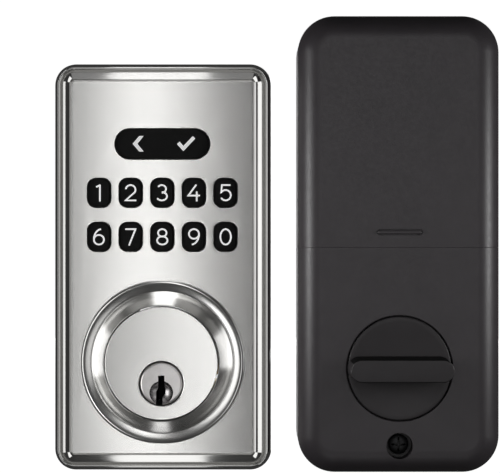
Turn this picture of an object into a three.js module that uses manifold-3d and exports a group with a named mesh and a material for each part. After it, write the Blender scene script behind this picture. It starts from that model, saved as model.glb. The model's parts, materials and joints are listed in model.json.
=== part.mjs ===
// A keypad smart lock for a hinged door, shown as its two units side by side: the exterior unit with
// its keypad and key cylinder, and the interior unit with its thumbturn, gear train and batteries.
//
// Millimetres. +X is to the right, +Z is up, and both units face -Y. The door's face is the plane
// y = 0, and what goes into the door points along +Y. The origin is the centre of the exterior
// unit's rear face. Each unit is built in its own group, with z = 0 at its lower edge and x = 0 on
// its centreline.

import * as THREE from "three";
import { mergeVertices } from "three/addons/utils/BufferGeometryUtils.js";
import Module from "manifold-3d";

const wasm = await Module();
wasm.setup();

// ---------------------------------------------------------------- driving dimensions

const GAP = 0.3; // between pieces that touch or slide on each other
const FINE = 36; // sides of a large circle
const COARSE = 16; // sides of a small circle
const CORNER_STEPS = 4; // steps round each corner of a rounded rectangle
const SMALL_CORNER = 3; // a corner of a smaller radius takes one step less

const UNIT_SPACE = 8; // clear space between the two units
const INTERIOR_RISE = 0.7; // how much higher than the exterior unit's the interior unit's lower end is
const EXTERIOR = { width: 67.4, height: 126.4, radius: 6.6 };
const INTERIOR = { width: 61.4, height: 139.4, radius: 11.2, depth: 33, edge: 7.2, wall: 1.7 };

// Exterior unit, depths from the door's face
const REAR = { gasket: 1.5, plate: 1.5, housing: 1.8 };
const FACE = { front: 19.7, thickness: 1.2, inset: 5.6 };
const HOUSING_WALL = 2;
const RIM_WIDTH = FACE.inset - GAP;

const KEY = { width: 6.9, height: 8.8, radius: 2.5, proud: 0.8, pitchX: 9.77 };
const ROCKER = { width: 29, height: 9.2, radius: 4.58 };
const FLANGE_REACH = 0.7; // how far the flange of a key reaches past its cap
const KEY_ROWS = [
  { z: 86.2, digits: [1, 2, 3, 4, 5] },
  { z: 72.6, digits: [6, 7, 8, 9, 0] },
];
const ROCKER_Z = 101.3;
const KEYPAD = { width: 53, low: 64, high: 110 };
const BOARD_FRONT = 12.2;
const BOARD_THICKNESS = 1.6;
const MEMBRANE_FRONT = 13.5;

const CYLINDER = { z: 34, capRadius: 17.25, capFront: 28.6, ringRadius: 25.3, drumRear: 9 };
const PLUG = { z: 27.8, radius: 6.6, faceRadius: 6.2, front: 28.5, rear: -4, holeRadius: 6.9 };
const KEYWAY = { width: 1.9, top: 2.5, bottom: -6.4, depth: 24, pocketZ: -2.7, pocketRadius: 3.6 };
const TAILPIECE = { width: 6.4, thickness: 1.6, end: 62 };
const BOLT_SPACING = 36; // through bolts, left and right of the spindle's axis
const BACK_SCREW = { x: 25, low: 9.4, high: 117 };

// Interior unit
const SPLIT_Z = 68.7; // parting line of the two covers
const GRIP = { z: 73.3, width: 13.4, height: 1.8, proud: 0.8 };
const TURN = { z: 32, radius: 15.7, holeRadius: 16.1, barWidth: 30.9, barHeight: 6.8, barDepth: 15 };
const COVER_SCREW = { z: 8.5, recessRadius: 4.05, headRadius: 3.05, headFront: 27.3, floor: 25.1 };
const CELL = { radius: 7.05, length: 49.2, pitch: 14.35, low: 77.6, depth: 23.4 };
const TRAY = { low: 71.6, high: 133.2, wall: 1.6, floorFront: 16, front: 28 };
const CONTACT_GAP = 0.3; // between a contact strip and the tray's end wall
const BUTTON_HEIGHT = 2.6; // raised button that meets a cell's pip
const CHASSIS = { rear: 2.1, thickness: 2, inset: 2.4 };
const MODULE = 0.8;
const TEETH = { drive: 32, idlerSmall: 10, idlerLarge: 24, motor: 10 };
const MOTOR_ANGLE = Math.PI / 6; // direction from the idler's axle to the motor's shaft
const GEAR_PLANE = { driveFront: 10, driveRear: 6.5, secondFront: 13.4, secondRear: 10.4 };
const IDLER_Z = TURN.z + (MODULE * (TEETH.drive + TEETH.idlerSmall)) / 2;
const MOTOR_REACH = (MODULE * (TEETH.idlerLarge + TEETH.motor)) / 2;
const MOTOR = {
  x: MOTOR_REACH * Math.cos(MOTOR_ANGLE),
  z: IDLER_Z + MOTOR_REACH * Math.sin(MOTOR_ANGLE),
};
const CABLE_WINDOW = { x: -16, z: 44, width: 10, height: 8 };

// ---------------------------------------------------------------- materials

const finish = (color, roughness, metalness) =>
  new THREE.MeshStandardMaterial({ color, roughness, metalness });

const satinNickel = finish(0xc9c7c3, 0.32, 1);
const polishedNickel = finish(0xd4d2cf, 0.12, 1);
const blackKey = finish(0x101010, 0.35, 0);
const blackHousing = finish(0x2b2a2c, 0.45, 0);
const greySilicone = finish(0x6f7072, 0.7, 0);
const blackRubber = finish(0x1a1a1a, 0.85, 0);
const greenBoard = finish(0x1f5a38, 0.5, 0);
const zinc = finish(0x9a9c9e, 0.45, 1);
const steel = finish(0xb4b6b8, 0.35, 1);
const brass = finish(0xc2a25a, 0.3, 1);
const whiteNylon = finish(0xdedbd2, 0.5, 0);
const darkPlastic = finish(0x202124, 0.6, 0);
const cellJacket = finish(0x3b3f46, 0.35, 0);

// ---------------------------------------------------------------- solids

/** A closed three.js geometry as a manifold-3d solid. */
function solidOf(geometry) {
  const loose = geometry.index ? geometry.toNonIndexed() : geometry;
  const bare = new THREE.BufferGeometry();
  bare.setAttribute("position", loose.getAttribute("position"));
  const merged = mergeVertices(bare, 1e-4);
  const mesh = new wasm.Mesh({
    numProp: 3,
    vertProperties: merged.attributes.position.array,
    triVerts: new Uint32Array(merged.index.array),
  });
  return new wasm.Manifold(mesh);
}

const join = (first, ...others) => others.reduce((sum, other) => sum.add(other), first);
const cut = (body, ...tools) => tools.reduce((rest, tool) => rest.subtract(tool), body);

/** A shape drawn in x and z, as a plate from depth `rear` to depth `front`, both measured along -Y. */
function plate(shape, rear, front, curveSegments = COARSE / 2) {
  const geometry = new THREE.ExtrudeGeometry(shape, {
    depth: front - rear,
    bevelEnabled: false,
    curveSegments,
  });
  geometry.rotateX(Math.PI / 2);
  geometry.translate(0, -rear, 0);
  return solidOf(geometry);
}

/** A profile of [radius, depth] points turned about an axis along Y through x, z. */
function turned(profile, x = 0, z = 0, sides = COARSE) {
  const points = profile.map(([radius, depth]) => new THREE.Vector2(radius, -depth));
  const area = THREE.ShapeUtils.area(points);
  if (area < 0) points.reverse();
  const geometry = new THREE.LatheGeometry(closedOnAxis(points), sides);
  geometry.translate(x, 0, z);
  return solidOf(geometry);
}

/** Closes a profile on itself, unless it already starts and ends on the axis. */
function closedOnAxis(points) {
  const first = points[0];
  const last = points[points.length - 1];
  return first.x === 0 && last.x === 0 ? points : [...points, first.clone()];
}

const disc = (radius, rear, front, x = 0, z = 0, sides = COARSE) =>
  turned([[0, rear], [radius, rear], [radius, front], [0, front]], x, z, sides);

const tube = (inner, outer, rear, front, x = 0, z = 0, sides = COARSE) =>
  turned([[inner, rear], [outer, rear], [outer, front], [inner, front]], x, z, sides);

/** A box given by its width, height and centre in x and z, and its two depths. */
function block(width, height, rear, front, x = 0, z = 0) {
  const geometry = new THREE.BoxGeometry(width, front - rear, height);
  geometry.translate(x, -(rear + front) / 2, z);
  return solidOf(geometry);
}

/** The corners of a rounded rectangle that is `inset` inside the given one, as [x, z] points. */
function ringPoints({ width, height, radius }, inset) {
  const steps = radius < SMALL_CORNER ? CORNER_STEPS - 1 : CORNER_STEPS;
  const r = Math.max(radius - inset, 0.2);
  const halfWidth = width / 2 - inset - r;
  const halfHeight = height / 2 - inset - r;
  const corners = [[1, 1], [-1, 1], [-1, -1], [1, -1]];
  return corners.flatMap(([sideX, sideZ], corner) =>
    Array.from({ length: steps + 1 }, (_, step) => {
      const angle = (corner + step / steps) * (Math.PI / 2);
      return [sideX * halfWidth + r * Math.cos(angle), sideZ * halfHeight + r * Math.sin(angle)];
    }),
  );
}

/**
 * A rounded rectangle carried through a profile of [inset, depth] points, from the rear to the
 * front, as a moulded edge is. It is centred on x, z.
 */
function moulded(rectangle, profile, x = 0, z = rectangle.height / 2) {
  const rings = profile.map(([inset, depth]) =>
    ringPoints(rectangle, inset).map(([px, pz]) => new THREE.Vector3(px + x, -depth, pz + z)),
  );
  const count = rings[0].length;
  const triangles = [];
  for (let level = 0; level + 1 < rings.length; level++) {
    for (let i = 0; i < count; i++) {
      const next = (i + 1) % count;
      const [rear, front] = [rings[level], rings[level + 1]];
      triangles.push(rear[i], front[next], front[i], rear[i], rear[next], front[next]);
    }
  }
  const [back, face] = [rings[0], rings[rings.length - 1]];
  for (let i = 1; i + 1 < count; i++) {
    triangles.push(back[0], back[i + 1], back[i], face[0], face[i], face[i + 1]);
  }
  return solidOf(new THREE.BufferGeometry().setFromPoints(triangles));
}

const slab = (rectangle, rear, front, x = 0, z = rectangle.height / 2) =>
  moulded(rectangle, [[0, rear], [0, front]], x, z);

/** Profile points of a quarter-round edge that ends at depth `front`, `inset` inside the outline. */
function roundedEdge(radius, front, inset = 0, steps = 5) {
  return Array.from({ length: steps + 1 }, (_, step) => {
    const angle = (step / steps) * (Math.PI / 2);
    return [inset + radius * (1 - Math.cos(angle)), front - radius * (1 - Math.sin(angle))];
  });
}

/** A rectangle inside another, all round. */
const shrunk = ({ width, height, radius }, by) => ({
  width: width - 2 * by,
  height: height - 2 * by,
  radius: Math.max(radius - by, 0.4),
});

/** The outline of a spur gear with straight-flanked teeth, and its bore. */
function gearShape(teeth, boreRadius, phase) {
  const pitchRadius = (MODULE * teeth) / 2;
  const tooth = (2 * Math.PI) / teeth;
  // Half the tooth's angle at the root and at the tip, as a share of the whole tooth.
  const flank = [
    { radius: pitchRadius - 1.15 * MODULE, half: 0.34 },
    { radius: pitchRadius + 0.75 * MODULE, half: 0.12 },
  ];
  const points = [];
  for (let i = 0; i < teeth; i++) {
    const middle = phase + i * tooth;
    const rising = flank.map(({ radius, half }) => [radius, middle - half * tooth]);
    const falling = [...flank].reverse().map(({ radius, half }) => [radius, middle + half * tooth]);
    points.push(...rising, ...falling);
  }
  const corners = points.map(([r, angle]) => new THREE.Vector2(r * Math.cos(angle), r * Math.sin(angle)));
  const shape = new THREE.Shape(corners);
  if (boreRadius) shape.holes.push(new THREE.Path().absarc(0, 0, boreRadius, 0, 2 * Math.PI, true));
  return shape;
}

const gear = (teeth, boreRadius, phase, rear, front, x, z) =>
  plate(gearShape(teeth, boreRadius, phase), rear, front).translate([x, 0, z]);

/** A cross recess for a screwdriver, cut `depth` into a head that faces -Y at depth `front`. */
function crossRecess(size, depth, front, x, z) {
  const arm = size / 4.5;
  return join(
    block(size, arm, front - depth, front + 1, x, z),
    block(arm, size, front - depth, front + 1, x, z),
  );
}

// ---------------------------------------------------------------- scene graph

/** Adds a solid to a group as a named mesh. */
function addPiece(group, name, solid, material) {
  const { vertProperties, numProp, triVerts, numVert } = solid.getMesh();
  const positions = new Float32Array(numVert * 3);
  for (let i = 0; i < numVert; i++) {
    positions.set(vertProperties.subarray(i * numProp, i * numProp + 3), i * 3);
  }
  const geometry = new THREE.BufferGeometry();
  geometry.setAttribute("position", new THREE.BufferAttribute(positions, 3));
  geometry.setIndex(new THREE.BufferAttribute(triVerts, 1));
  geometry.computeVertexNormals();
  const mesh = new THREE.Mesh(geometry, material);
  mesh.name = name;
  group.add(mesh);
}

// ---------------------------------------------------------------- exterior unit: housing

/** The front edge, from the outer corner inwards: bead, cove, bevel, small step and inner band. */
function rimProfile() {
  const bead = 17.6;
  return [
    [0, REAR.housing],
    ...roundedEdge(1, bead, 0, 4),
    [1.35, bead],
    [1.65, bead - 0.25],
    [1.9, bead - 0.6],
    [2.3, bead - 0.5],
    [3.7, FACE.front - 0.8],
    [3.85, FACE.front - 0.3],
    [4.1, FACE.front - 0.2],
    [5, FACE.front + 0.1],
    [RIM_WIDTH, FACE.front],
  ];
}

function exteriorHousing() {
  const shell = moulded(EXTERIOR, rimProfile());
  const ledge = FACE.front - FACE.thickness - GAP;
  const cavity = slab(shrunk(EXTERIOR, HOUSING_WALL), 0, ledge - 2.2, 0, EXTERIOR.height / 2);
  const window = slab(shrunk(EXTERIOR, RIM_WIDTH + 1.6), 0, 30, 0, EXTERIOR.height / 2);
  const seat = slab(shrunk(EXTERIOR, RIM_WIDTH), ledge, 30, 0, EXTERIOR.height / 2);
  const bosses = backScrewPlaces().map(([x, z]) => disc(3.6, REAR.housing, 17, x, z, 12));
  const threads = backScrewPlaces().map(([x, z]) => disc(1.7, 0, 12, x, z, 12));
  return cut(join(cut(shell, cavity, window, seat), ...bosses), ...threads);
}

const backScrewPlaces = () =>
  [-1, 1].flatMap((side) => [BACK_SCREW.low, BACK_SCREW.high].map((z) => [side * BACK_SCREW.x, z]));

/** The brushed sheet that the keys and the cylinder's ring come through. */
function facePlate() {
  const rear = FACE.front - FACE.thickness;
  const sheet = moulded(EXTERIOR, [
    [FACE.inset, rear],
    [FACE.inset, FACE.front - 0.15],
    [FACE.inset + 0.15, FACE.front],
  ]);
  const keyHoles = keyPlaces().map(({ x, z }) => slab(shrunk(KEY, -GAP), 0, 30, x, z));
  const rockerHole = slab(shrunk(ROCKER, -GAP), 0, 30, 0, ROCKER_Z);
  const cylinderHole = disc(22.3, 0, 30, 0, CYLINDER.z, FINE);
  return cut(sheet, ...keyHoles, rockerHole, cylinderHole);
}

// ---------------------------------------------------------------- exterior unit: keypad

const keyPlaces = () =>
  KEY_ROWS.flatMap(({ z, digits }) =>
    digits.map((digit, column) => ({ digit, x: (column - 2) * KEY.pitchX, z })),
  );

/** A key: a cap with a rounded edge, a retaining flange behind the face plate, and a stem. */
function key(x, z) {
  const front = FACE.front + KEY.proud;
  const flangeFront = FACE.front - FACE.thickness - GAP;
  const cap = moulded(KEY, [[0, flangeFront - 0.5], ...roundedEdge(0.5, front, 0, 2)], x, z);
  const width = KEY.width + 2 * FLANGE_REACH;
  const height = KEY.height + 2 * FLANGE_REACH;
  const flange = block(width, height, flangeFront - 1, flangeFront, x, z);
  const stem = block(3.6, 4.6, MEMBRANE_FRONT + 1.1, flangeFront - 0.5, x, z);
  return join(cap, flange, stem);
}

/** The long key over the digits, which tilts to the left or the right and has a stem at each end. */
function commandRocker() {
  const front = FACE.front + KEY.proud;
  const flangeFront = FACE.front - FACE.thickness - 0.9;
  const cap = moulded(ROCKER, [[0, flangeFront - 0.5], ...roundedEdge(0.5, front, 0, 2)], 0, ROCKER_Z);
  const width = ROCKER.width + 2 * FLANGE_REACH;
  const height = ROCKER.height + 2 * FLANGE_REACH;
  const flange = block(width, height, flangeFront - 1, flangeFront, 0, ROCKER_Z);
  const stems = [-9.5, 9.5].map((x) =>
    block(3.6, 4.6, MEMBRANE_FRONT + 1.1, flangeFront - 0.5, x, ROCKER_Z),
  );
  return join(cap, flange, ...stems);
}

/** The silicone mat, with a low dome under each stem. */
function keypadMembrane() {
  const mat = { width: KEYPAD.width, height: KEYPAD.high - KEYPAD.low, radius: 2 };
  const front = MEMBRANE_FRONT - 0.4;
  const sheet = slab(mat, BOARD_FRONT + GAP, front, 0, (KEYPAD.low + KEYPAD.high) / 2);
  const places = [...keyPlaces(), { x: -9.5, z: ROCKER_Z }, { x: 9.5, z: ROCKER_Z }];
  const domes = places.map(({ x, z }) =>
    turned([[0, front - 0.2], [3, front - 0.2], [2.2, MEMBRANE_FRONT], [0, MEMBRANE_FRONT]], x, z, 8),
  );
  return join(sheet, ...domes);
}

/** The keypad's circuit board with its controller, its driver and its cable connector. */
function keypadBoard() {
  const rear = BOARD_FRONT - BOARD_THICKNESS;
  const sheet = { width: KEYPAD.width, height: KEYPAD.high - KEYPAD.low, radius: 1.5 };
  return join(
    slab(sheet, rear, BOARD_FRONT, 0, (KEYPAD.low + KEYPAD.high) / 2),
    block(9, 9, rear - 1.4, rear + 0.2, -8, 92),
    block(5, 6, rear - 1.2, rear + 0.2, 12, 96),
    block(12, 5.4, rear - 5, rear + 0.2, 0, 70),
  );
}

// ---------------------------------------------------------------- exterior unit: cylinder

/** The polished ring round the cylinder: rolled edge, band, groove, then a cone up to its lip. */
function cylinderRing() {
  const base = FACE.front + GAP;
  const outer = CYLINDER.ringRadius;
  const lip = CYLINDER.capRadius + GAP;
  const top = CYLINDER.capFront - 0.1;
  const profile = [
    [lip, 15],
    [21.6, 15],
    [21.6, base],
    [outer, base],
    [outer, base + 0.7],
    [outer - 0.4, base + 1.4],
    [outer - 1.2, base + 1.7],
    [outer - 2.7, base + 1.3],
    [outer - 3, base + 1.7],
    [lip + 2.6, top - 3.2],
    [lip + 0.5, top],
    [lip, top - 0.3],
  ];
  return turned(profile, 0, CYLINDER.z, FINE);
}

/** The brushed disc inside the ring, with the plug's hole below its centre. */
function cylinderCap() {
  const { capRadius, capFront } = CYLINDER;
  const profile = [
    [0, capFront - 2],
    [capRadius, capFront - 2],
    [capRadius, capFront - 0.3],
    [capRadius - 0.3, capFront],
    [0, capFront],
  ];
  const plugHole = disc(PLUG.holeRadius, 0, 40, 0, PLUG.z, 32);
  return cut(turned(profile, 0, CYLINDER.z, FINE), plugHole);
}

/** The cylinder's body: a drum behind the cap, then a pear-shaped barrel that enters the door. */
function cylinderShell() {
  const drumFront = CYLINDER.capFront - 2 - GAP;
  const drum = disc(CYLINDER.capRadius - 0.2, CYLINDER.drumRear, drumFront, 0, CYLINDER.z, FINE);
  const barrel = disc(9.6, PLUG.rear + 1.2, drumFront, 0, PLUG.z, 32);
  const pinChamber = block(9, 16, PLUG.rear + 1.2, drumFront, 0, PLUG.z + 8);
  const bore = disc(PLUG.holeRadius, PLUG.rear - 5, 40, 0, PLUG.z, 32);
  return cut(join(drum, barrel, pinChamber), bore);
}

/** The turning plug, with its warded keyway and the round pocket that guides the key. */
function keyPlug() {
  const { radius, faceRadius, front, rear } = PLUG;
  const profile = [
    [0, rear - 2],
    [4.4, rear - 2],
    [4.4, rear],
    [radius, rear],
    [radius, front - 0.5],
    [faceRadius, front],
    [0, front],
  ];
  const body = turned(profile, 0, PLUG.z, 32);
  const { width, top, bottom, depth, pocketZ, pocketRadius } = KEYWAY;
  const half = width / 2;
  const section = new THREE.Shape([
    new THREE.Vector2(-half, top),
    new THREE.Vector2(-half, -1.2),
    new THREE.Vector2(-half - 0.7, -2.6),
    new THREE.Vector2(-half - 0.7, bottom - 1),
    new THREE.Vector2(half - 0.6, bottom - 1),
    new THREE.Vector2(half - 0.6, -4.2),
    new THREE.Vector2(half + 0.3, -3.2),
    new THREE.Vector2(half + 0.3, -1.6),
    new THREE.Vector2(half, -1),
    new THREE.Vector2(half, top),
  ]);
  const slot = plate(section, front - depth, front + 1).translate([0, 0, PLUG.z]);
  const ballRadius = pocketRadius * 1.17;
  const proud = Math.sqrt(ballRadius ** 2 - pocketRadius ** 2);
  const ball = new THREE.SphereGeometry(ballRadius, 16, 10);
  ball.translate(0, -front - proud, PLUG.z + pocketZ);
  return cut(body, slot, solidOf(ball));
}

/** The flat blade that turns the bolt, with the round boss that joins it to the plug. */
function tailpiece() {
  const bossRear = PLUG.rear - 2 - GAP;
  return join(
    disc(5.4, bossRear - 2, bossRear, 0, PLUG.z, 16),
    block(TAILPIECE.thickness, TAILPIECE.width, -TAILPIECE.end, bossRear - 1, 0, PLUG.z),
  );
}

/** The split ring that keeps the plug in its shell. */
const plugClip = () =>
  tube(4.7, 8.2, PLUG.rear - 1.4, PLUG.rear - GAP, 0, PLUG.z, 24);

// ---------------------------------------------------------------- exterior unit: rear

function exteriorGasket() {
  const outer = slab(shrunk(EXTERIOR, 0.6), 0, REAR.gasket, 0, EXTERIOR.height / 2);
  return cut(outer, slab(shrunk(EXTERIOR, 3.1), -1, 5, 0, EXTERIOR.height / 2));
}

function backPlate() {
  const sheet = slab(shrunk(EXTERIOR, 3.4), 0, REAR.plate, 0, EXTERIOR.height / 2);
  const cylinderHole = disc(10.2, -1, 5, 0, PLUG.z, 32);
  const chamberHole = block(10, 18, -1, 5, 0, PLUG.z + 8.5);
  const cableSlot = slab({ width: 16, height: 7, radius: 3 }, -1, 5, 0, 51);
  const postHoles = [-1, 1].map((side) => disc(4.4, -1, 5, (side * BOLT_SPACING) / 2, PLUG.z));
  const sinks = backScrewPlaces().map(([x, z]) =>
    turned([[0, -1], [4.4, -1], [2, REAR.plate], [2, 3], [0, 3]], x, z, 12),
  );
  return cut(sheet, cylinderHole, chamberHole, cableSlot, ...postHoles, ...sinks);
}

/** A countersunk screw that faces the door. */
function backPlateScrew(x, z) {
  const body = turned([[0, GAP], [2.7, GAP], [1.4, REAR.plate + 0.2], [1.4, 10], [0, 10]], x, z, 12);
  const arm = 0.6;
  const recess = join(
    block(2.6, arm, -1, 1.1, x, z),
    block(arm, 2.6, -1, 1.1, x, z),
  );
  return cut(body, recess);
}

/** A threaded post that takes one of the through bolts. */
const boltPost = (side) =>
  turned(
    [[1.9, -9], [3.6, -9], [4.1, -8.5], [4.1, 1.8], [5.2, 1.8], [5.2, 4], [1.9, 4]],
    (side * BOLT_SPACING) / 2,
    PLUG.z,
    16,
  );

// ---------------------------------------------------------------- interior unit: covers

const coverEnvelope = () =>
  moulded(INTERIOR, [[0, 0.6], ...roundedEdge(INTERIOR.edge, INTERIOR.depth)]);

const coverShell = () =>
  cut(
    coverEnvelope(),
    moulded(INTERIOR, [
      [INTERIOR.wall, 0],
      ...roundedEdge(INTERIOR.edge - INTERIOR.wall, INTERIOR.depth - INTERIOR.wall, INTERIOR.wall),
    ]),
  );

/** Everything between two heights, wider and deeper than the unit. */
const between = (low, high) => block(100, high - low, -10, 60, 0, (low + high) / 2);

/** The solid that lies `inset` inside the covers' outer surface, from depth `rear` forwards. */
const coverOffset = (inset, rear) =>
  moulded(INTERIOR, [
    [inset, rear],
    ...roundedEdge(INTERIOR.edge - inset, INTERIOR.depth - inset, inset, 4),
  ]);

/** The tongue on the lower cover that backs the parting line and guides the battery cover. */
function coverTongue() {
  const outer = INTERIOR.wall + GAP;
  const shell = cut(coverOffset(outer, 6), coverOffset(outer + 1, 5));
  return shell.intersect(between(SPLIT_Z - 3, SPLIT_Z + 2.4));
}

function lowerCover() {
  const shell = coverShell().intersect(between(-5, SPLIT_Z - GAP / 2));
  const { z, recessRadius, floor } = COVER_SCREW;
  const well = disc(recessRadius + 1.2, floor - 1.4, INTERIOR.depth, 0, z).intersect(coverEnvelope());
  const wellInside = disc(recessRadius, floor, 50, 0, z);
  const shankHole = disc(1.8, 0, 50, 0, z, 12);
  const turnHole = disc(TURN.holeRadius, 20, 50, 0, TURN.z, FINE);
  // The step that joins the tongue to the shell, below the parting line.
  const step = cut(
    coverOffset(INTERIOR.wall - 0.2, 6),
    coverOffset(INTERIOR.wall + GAP + 0.4, 5),
  ).intersect(between(SPLIT_Z - 3, SPLIT_Z - 1));
  return cut(join(shell, step, coverTongue(), well), wellInside, shankHole, turnHole);
}

function batteryCover() {
  const shell = coverShell().intersect(between(SPLIT_Z + GAP / 2, INTERIOR.height + 5));
  const rib = { width: GRIP.width, height: GRIP.height, radius: GRIP.height / 2 - 0.05 };
  const front = INTERIOR.depth + GRIP.proud;
  const grip = moulded(rib, [[0, INTERIOR.depth - 0.5], [0, front - 0.35], [0.35, front]], 0, GRIP.z);
  return join(shell, grip);
}

function coverScrew() {
  const { z, headRadius, headFront } = COVER_SCREW;
  const profile = [
    [0, 10],
    [1.4, 10],
    [1.4, headFront - 1.9],
    [headRadius, headFront - 1.9],
    [headRadius, headFront - 0.5],
    [headRadius - 0.7, headFront],
    [0, headFront],
  ];
  return cut(turned(profile, 0, z, 16), crossRecess(3.2, 0.9, headFront, 0, z));
}

// ---------------------------------------------------------------- interior unit: thumbturn and gears

/** The disc flush with the cover and the raised bar across it. */
function thumbturn() {
  const { z, radius, barWidth, barHeight, barDepth } = TURN;
  const front = INTERIOR.depth - 0.2;
  const face = turned(
    [[0, 28.4], [radius, 28.4], [radius, front - 0.4], [radius - 0.4, front], [0, front]],
    0,
    z,
    FINE,
  );
  const bar = { width: barWidth, height: barHeight, radius: barHeight / 2 - 0.02 };
  const grip = moulded(
    bar,
    [[0, front - 1], [0, front + 0.5], ...roundedEdge(0.6, front + barDepth, 0.25, 2)],
    0,
    z,
  );
  return join(face, grip);
}

/** The spindle behind the thumbturn, with the slot that takes the tailpiece. */
function thumbturnSpindle() {
  const profile = [[0, 2], [5.4, 2], [5.4, 6.2], [7.2, 6.2], [7.2, 10], [4.6, 10], [4.6, 28.1], [0, 28.1]];
  const body = turned(profile, 0, TURN.z, 20);
  const across = block(TAILPIECE.thickness + 0.8, TAILPIECE.width + 0.8, -5, 17, 0, TURN.z);
  return cut(body, across);
}

const driveGear = () =>
  gear(TEETH.drive, 7.8, 0, GEAR_PLANE.driveRear, GEAR_PLANE.driveFront, 0, TURN.z);

/** The compound idler: its small pinion meets the drive gear, its large wheel meets the motor. */
function idlerGear() {
  const { driveRear, secondRear, secondFront } = GEAR_PLANE;
  const small = gear(TEETH.idlerSmall, 0, 0, driveRear, secondRear + 0.5, 0, IDLER_Z);
  const large = gear(TEETH.idlerLarge, 0, 0, secondRear, secondFront, 0, IDLER_Z);
  return cut(join(small, large), disc(1.5, 0, 40, 0, IDLER_Z, 12));
}

function motorPinion() {
  const halfTooth = Math.PI / TEETH.motor;
  const phase = MOTOR_ANGLE + Math.PI - halfTooth;
  const { secondRear, secondFront } = GEAR_PLANE;
  return gear(TEETH.motor, 1.1, phase, secondRear + 0.2, secondFront, MOTOR.x, MOTOR.z);
}

/** A flat-sided miniature motor with its bearing boss and its shaft. */
function motor() {
  const can = { width: 12, height: 10, radius: 3 };
  return join(
    slab(can, 15.4, 30.2, MOTOR.x, MOTOR.z),
    disc(2.6, 14.6, 16, MOTOR.x, MOTOR.z, 12),
    disc(0.8, 10, 16, MOTOR.x, MOTOR.z, 12),
  );
}

/** The plate that carries the motor and the front end of the idler's axle. */
function gearboxPlate() {
  const rear = GEAR_PLANE.secondFront + 0.4;
  const sheet = slab({ width: 42, height: 21, radius: 3 }, rear, rear + 1.2, 2, 56);
  const posts = [-16, 20].map((x) => disc(2.4, 4.4, rear + 0.2, x, 62, 12));
  const bossHole = disc(3, 0, 20, MOTOR.x, MOTOR.z, 12);
  const axleHole = disc(1.4, 0, 20, 0, IDLER_Z, 12);
  return cut(join(sheet, ...posts), bossHole, axleHole);
}

const idlerAxle = () => disc(1.1, CHASSIS.rear + CHASSIS.thickness + GAP, 15.4, 0, IDLER_Z, 12);

// ---------------------------------------------------------------- interior unit: chassis and power

/** The plastic chassis: a base, the battery tray with its end walls and ribs, and the screw boss. */
function chassis() {
  const front = CHASSIS.rear + CHASSIS.thickness;
  const base = slab(shrunk(INTERIOR, CHASSIS.inset), CHASSIS.rear, front, 0, INTERIOR.height / 2);
  const trayHeight = TRAY.high - TRAY.low;
  const trayMiddle = (TRAY.low + TRAY.high) / 2;
  const floor = block(53, trayHeight, TRAY.floorFront - TRAY.wall, TRAY.floorFront, 0, trayMiddle);
  const ends = [TRAY.low + TRAY.wall / 2, TRAY.high - TRAY.wall / 2].map((z) =>
    block(52, TRAY.wall, front - 0.5, TRAY.front, 0, z),
  );
  const ribs = [-1, 0, 1].map((place) =>
    block(1.6, trayHeight, TRAY.floorFront - 0.5, TRAY.floorFront + 1.6, place * CELL.pitch, trayMiddle),
  );
  const standoffs = [-20, 20].flatMap((x) =>
    [82, 124].map((z) => disc(2.2, front - 0.5, 7.3, x, z, 10)),
  );
  const boss = disc(3.6, front - 0.5, COVER_SCREW.floor - 1.4 - GAP, 0, COVER_SCREW.z, 16);
  const pilot = disc(1.7, CHASSIS.rear + 1, 40, 0, COVER_SCREW.z, 12);
  const spindleHole = disc(5.9, -5, 10, 0, TURN.z, 24);
  const boltHoles = [-1, 1].map((side) => disc(4.4, -5, 10, (side * BOLT_SPACING) / 2, TURN.z));
  const screwHoles = chassisScrewPlaces().map(([x, z]) => disc(1.9, -5, 10, x, z, 12));
  const solid = join(base, floor, ...ends, ...ribs, ...standoffs, boss);
  return cut(solid, pilot, spindleHole, ...boltHoles, ...screwHoles, cableWindow());
}

const chassisScrewPlaces = () => [-1, 1].map((side) => [side * 24, 67]);

const cableWindow = () =>
  slab({ ...CABLE_WINDOW, radius: 1.5 }, -5, 10, CABLE_WINDOW.x, CABLE_WINDOW.z);

/** One screw that holds the chassis to the mounting plate. */
function chassisScrew(x, z) {
  const front = CHASSIS.rear + CHASSIS.thickness + GAP;
  const headFront = front + 1.6;
  const profile = [[0, 0.4], [1.5, 0.4], [1.5, front], [2.8, front], [2.8, headFront], [0, headFront]];
  const body = turned(profile, x, z, 10);
  return cut(body, crossRecess(3, 0.8, headFront, x, z));
}

/** The steel plate that is bolted to the door first, and that the chassis is screwed to. */
function mountingPlate() {
  const sheet = { width: 55, height: 122, radius: 8 };
  const body = slab(sheet, 0, 1.7, 0, INTERIOR.height / 2);
  const spindleHole = disc(8, -5, 10, 0, TURN.z, 24);
  const slots = [-1, 1].map((side) =>
    slab({ width: 9, height: 5.2, radius: 2.5 }, -5, 10, (side * BOLT_SPACING) / 2, TURN.z),
  );
  const screwHoles = chassisScrewPlaces().map(([x, z]) => disc(1.9, -5, 10, x, z, 12));
  return cut(body, spindleHole, ...slots, ...screwHoles, cableWindow());
}

/** A through bolt: its head is on the mounting plate, and its shank crosses the door. */
function throughBolt(side) {
  const x = (side * BOLT_SPACING) / 2;
  const body = turned(
    [[0, -46], [1.6, -46], [2.1, -45.4], [2.1, 2], [3.8, 2], [3.8, 3.6], [3, 4.4], [0, 4.4]],
    x,
    TURN.z,
    16,
  );
  return cut(body, crossRecess(3.8, 1.2, 4.4, x, TURN.z));
}

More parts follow.
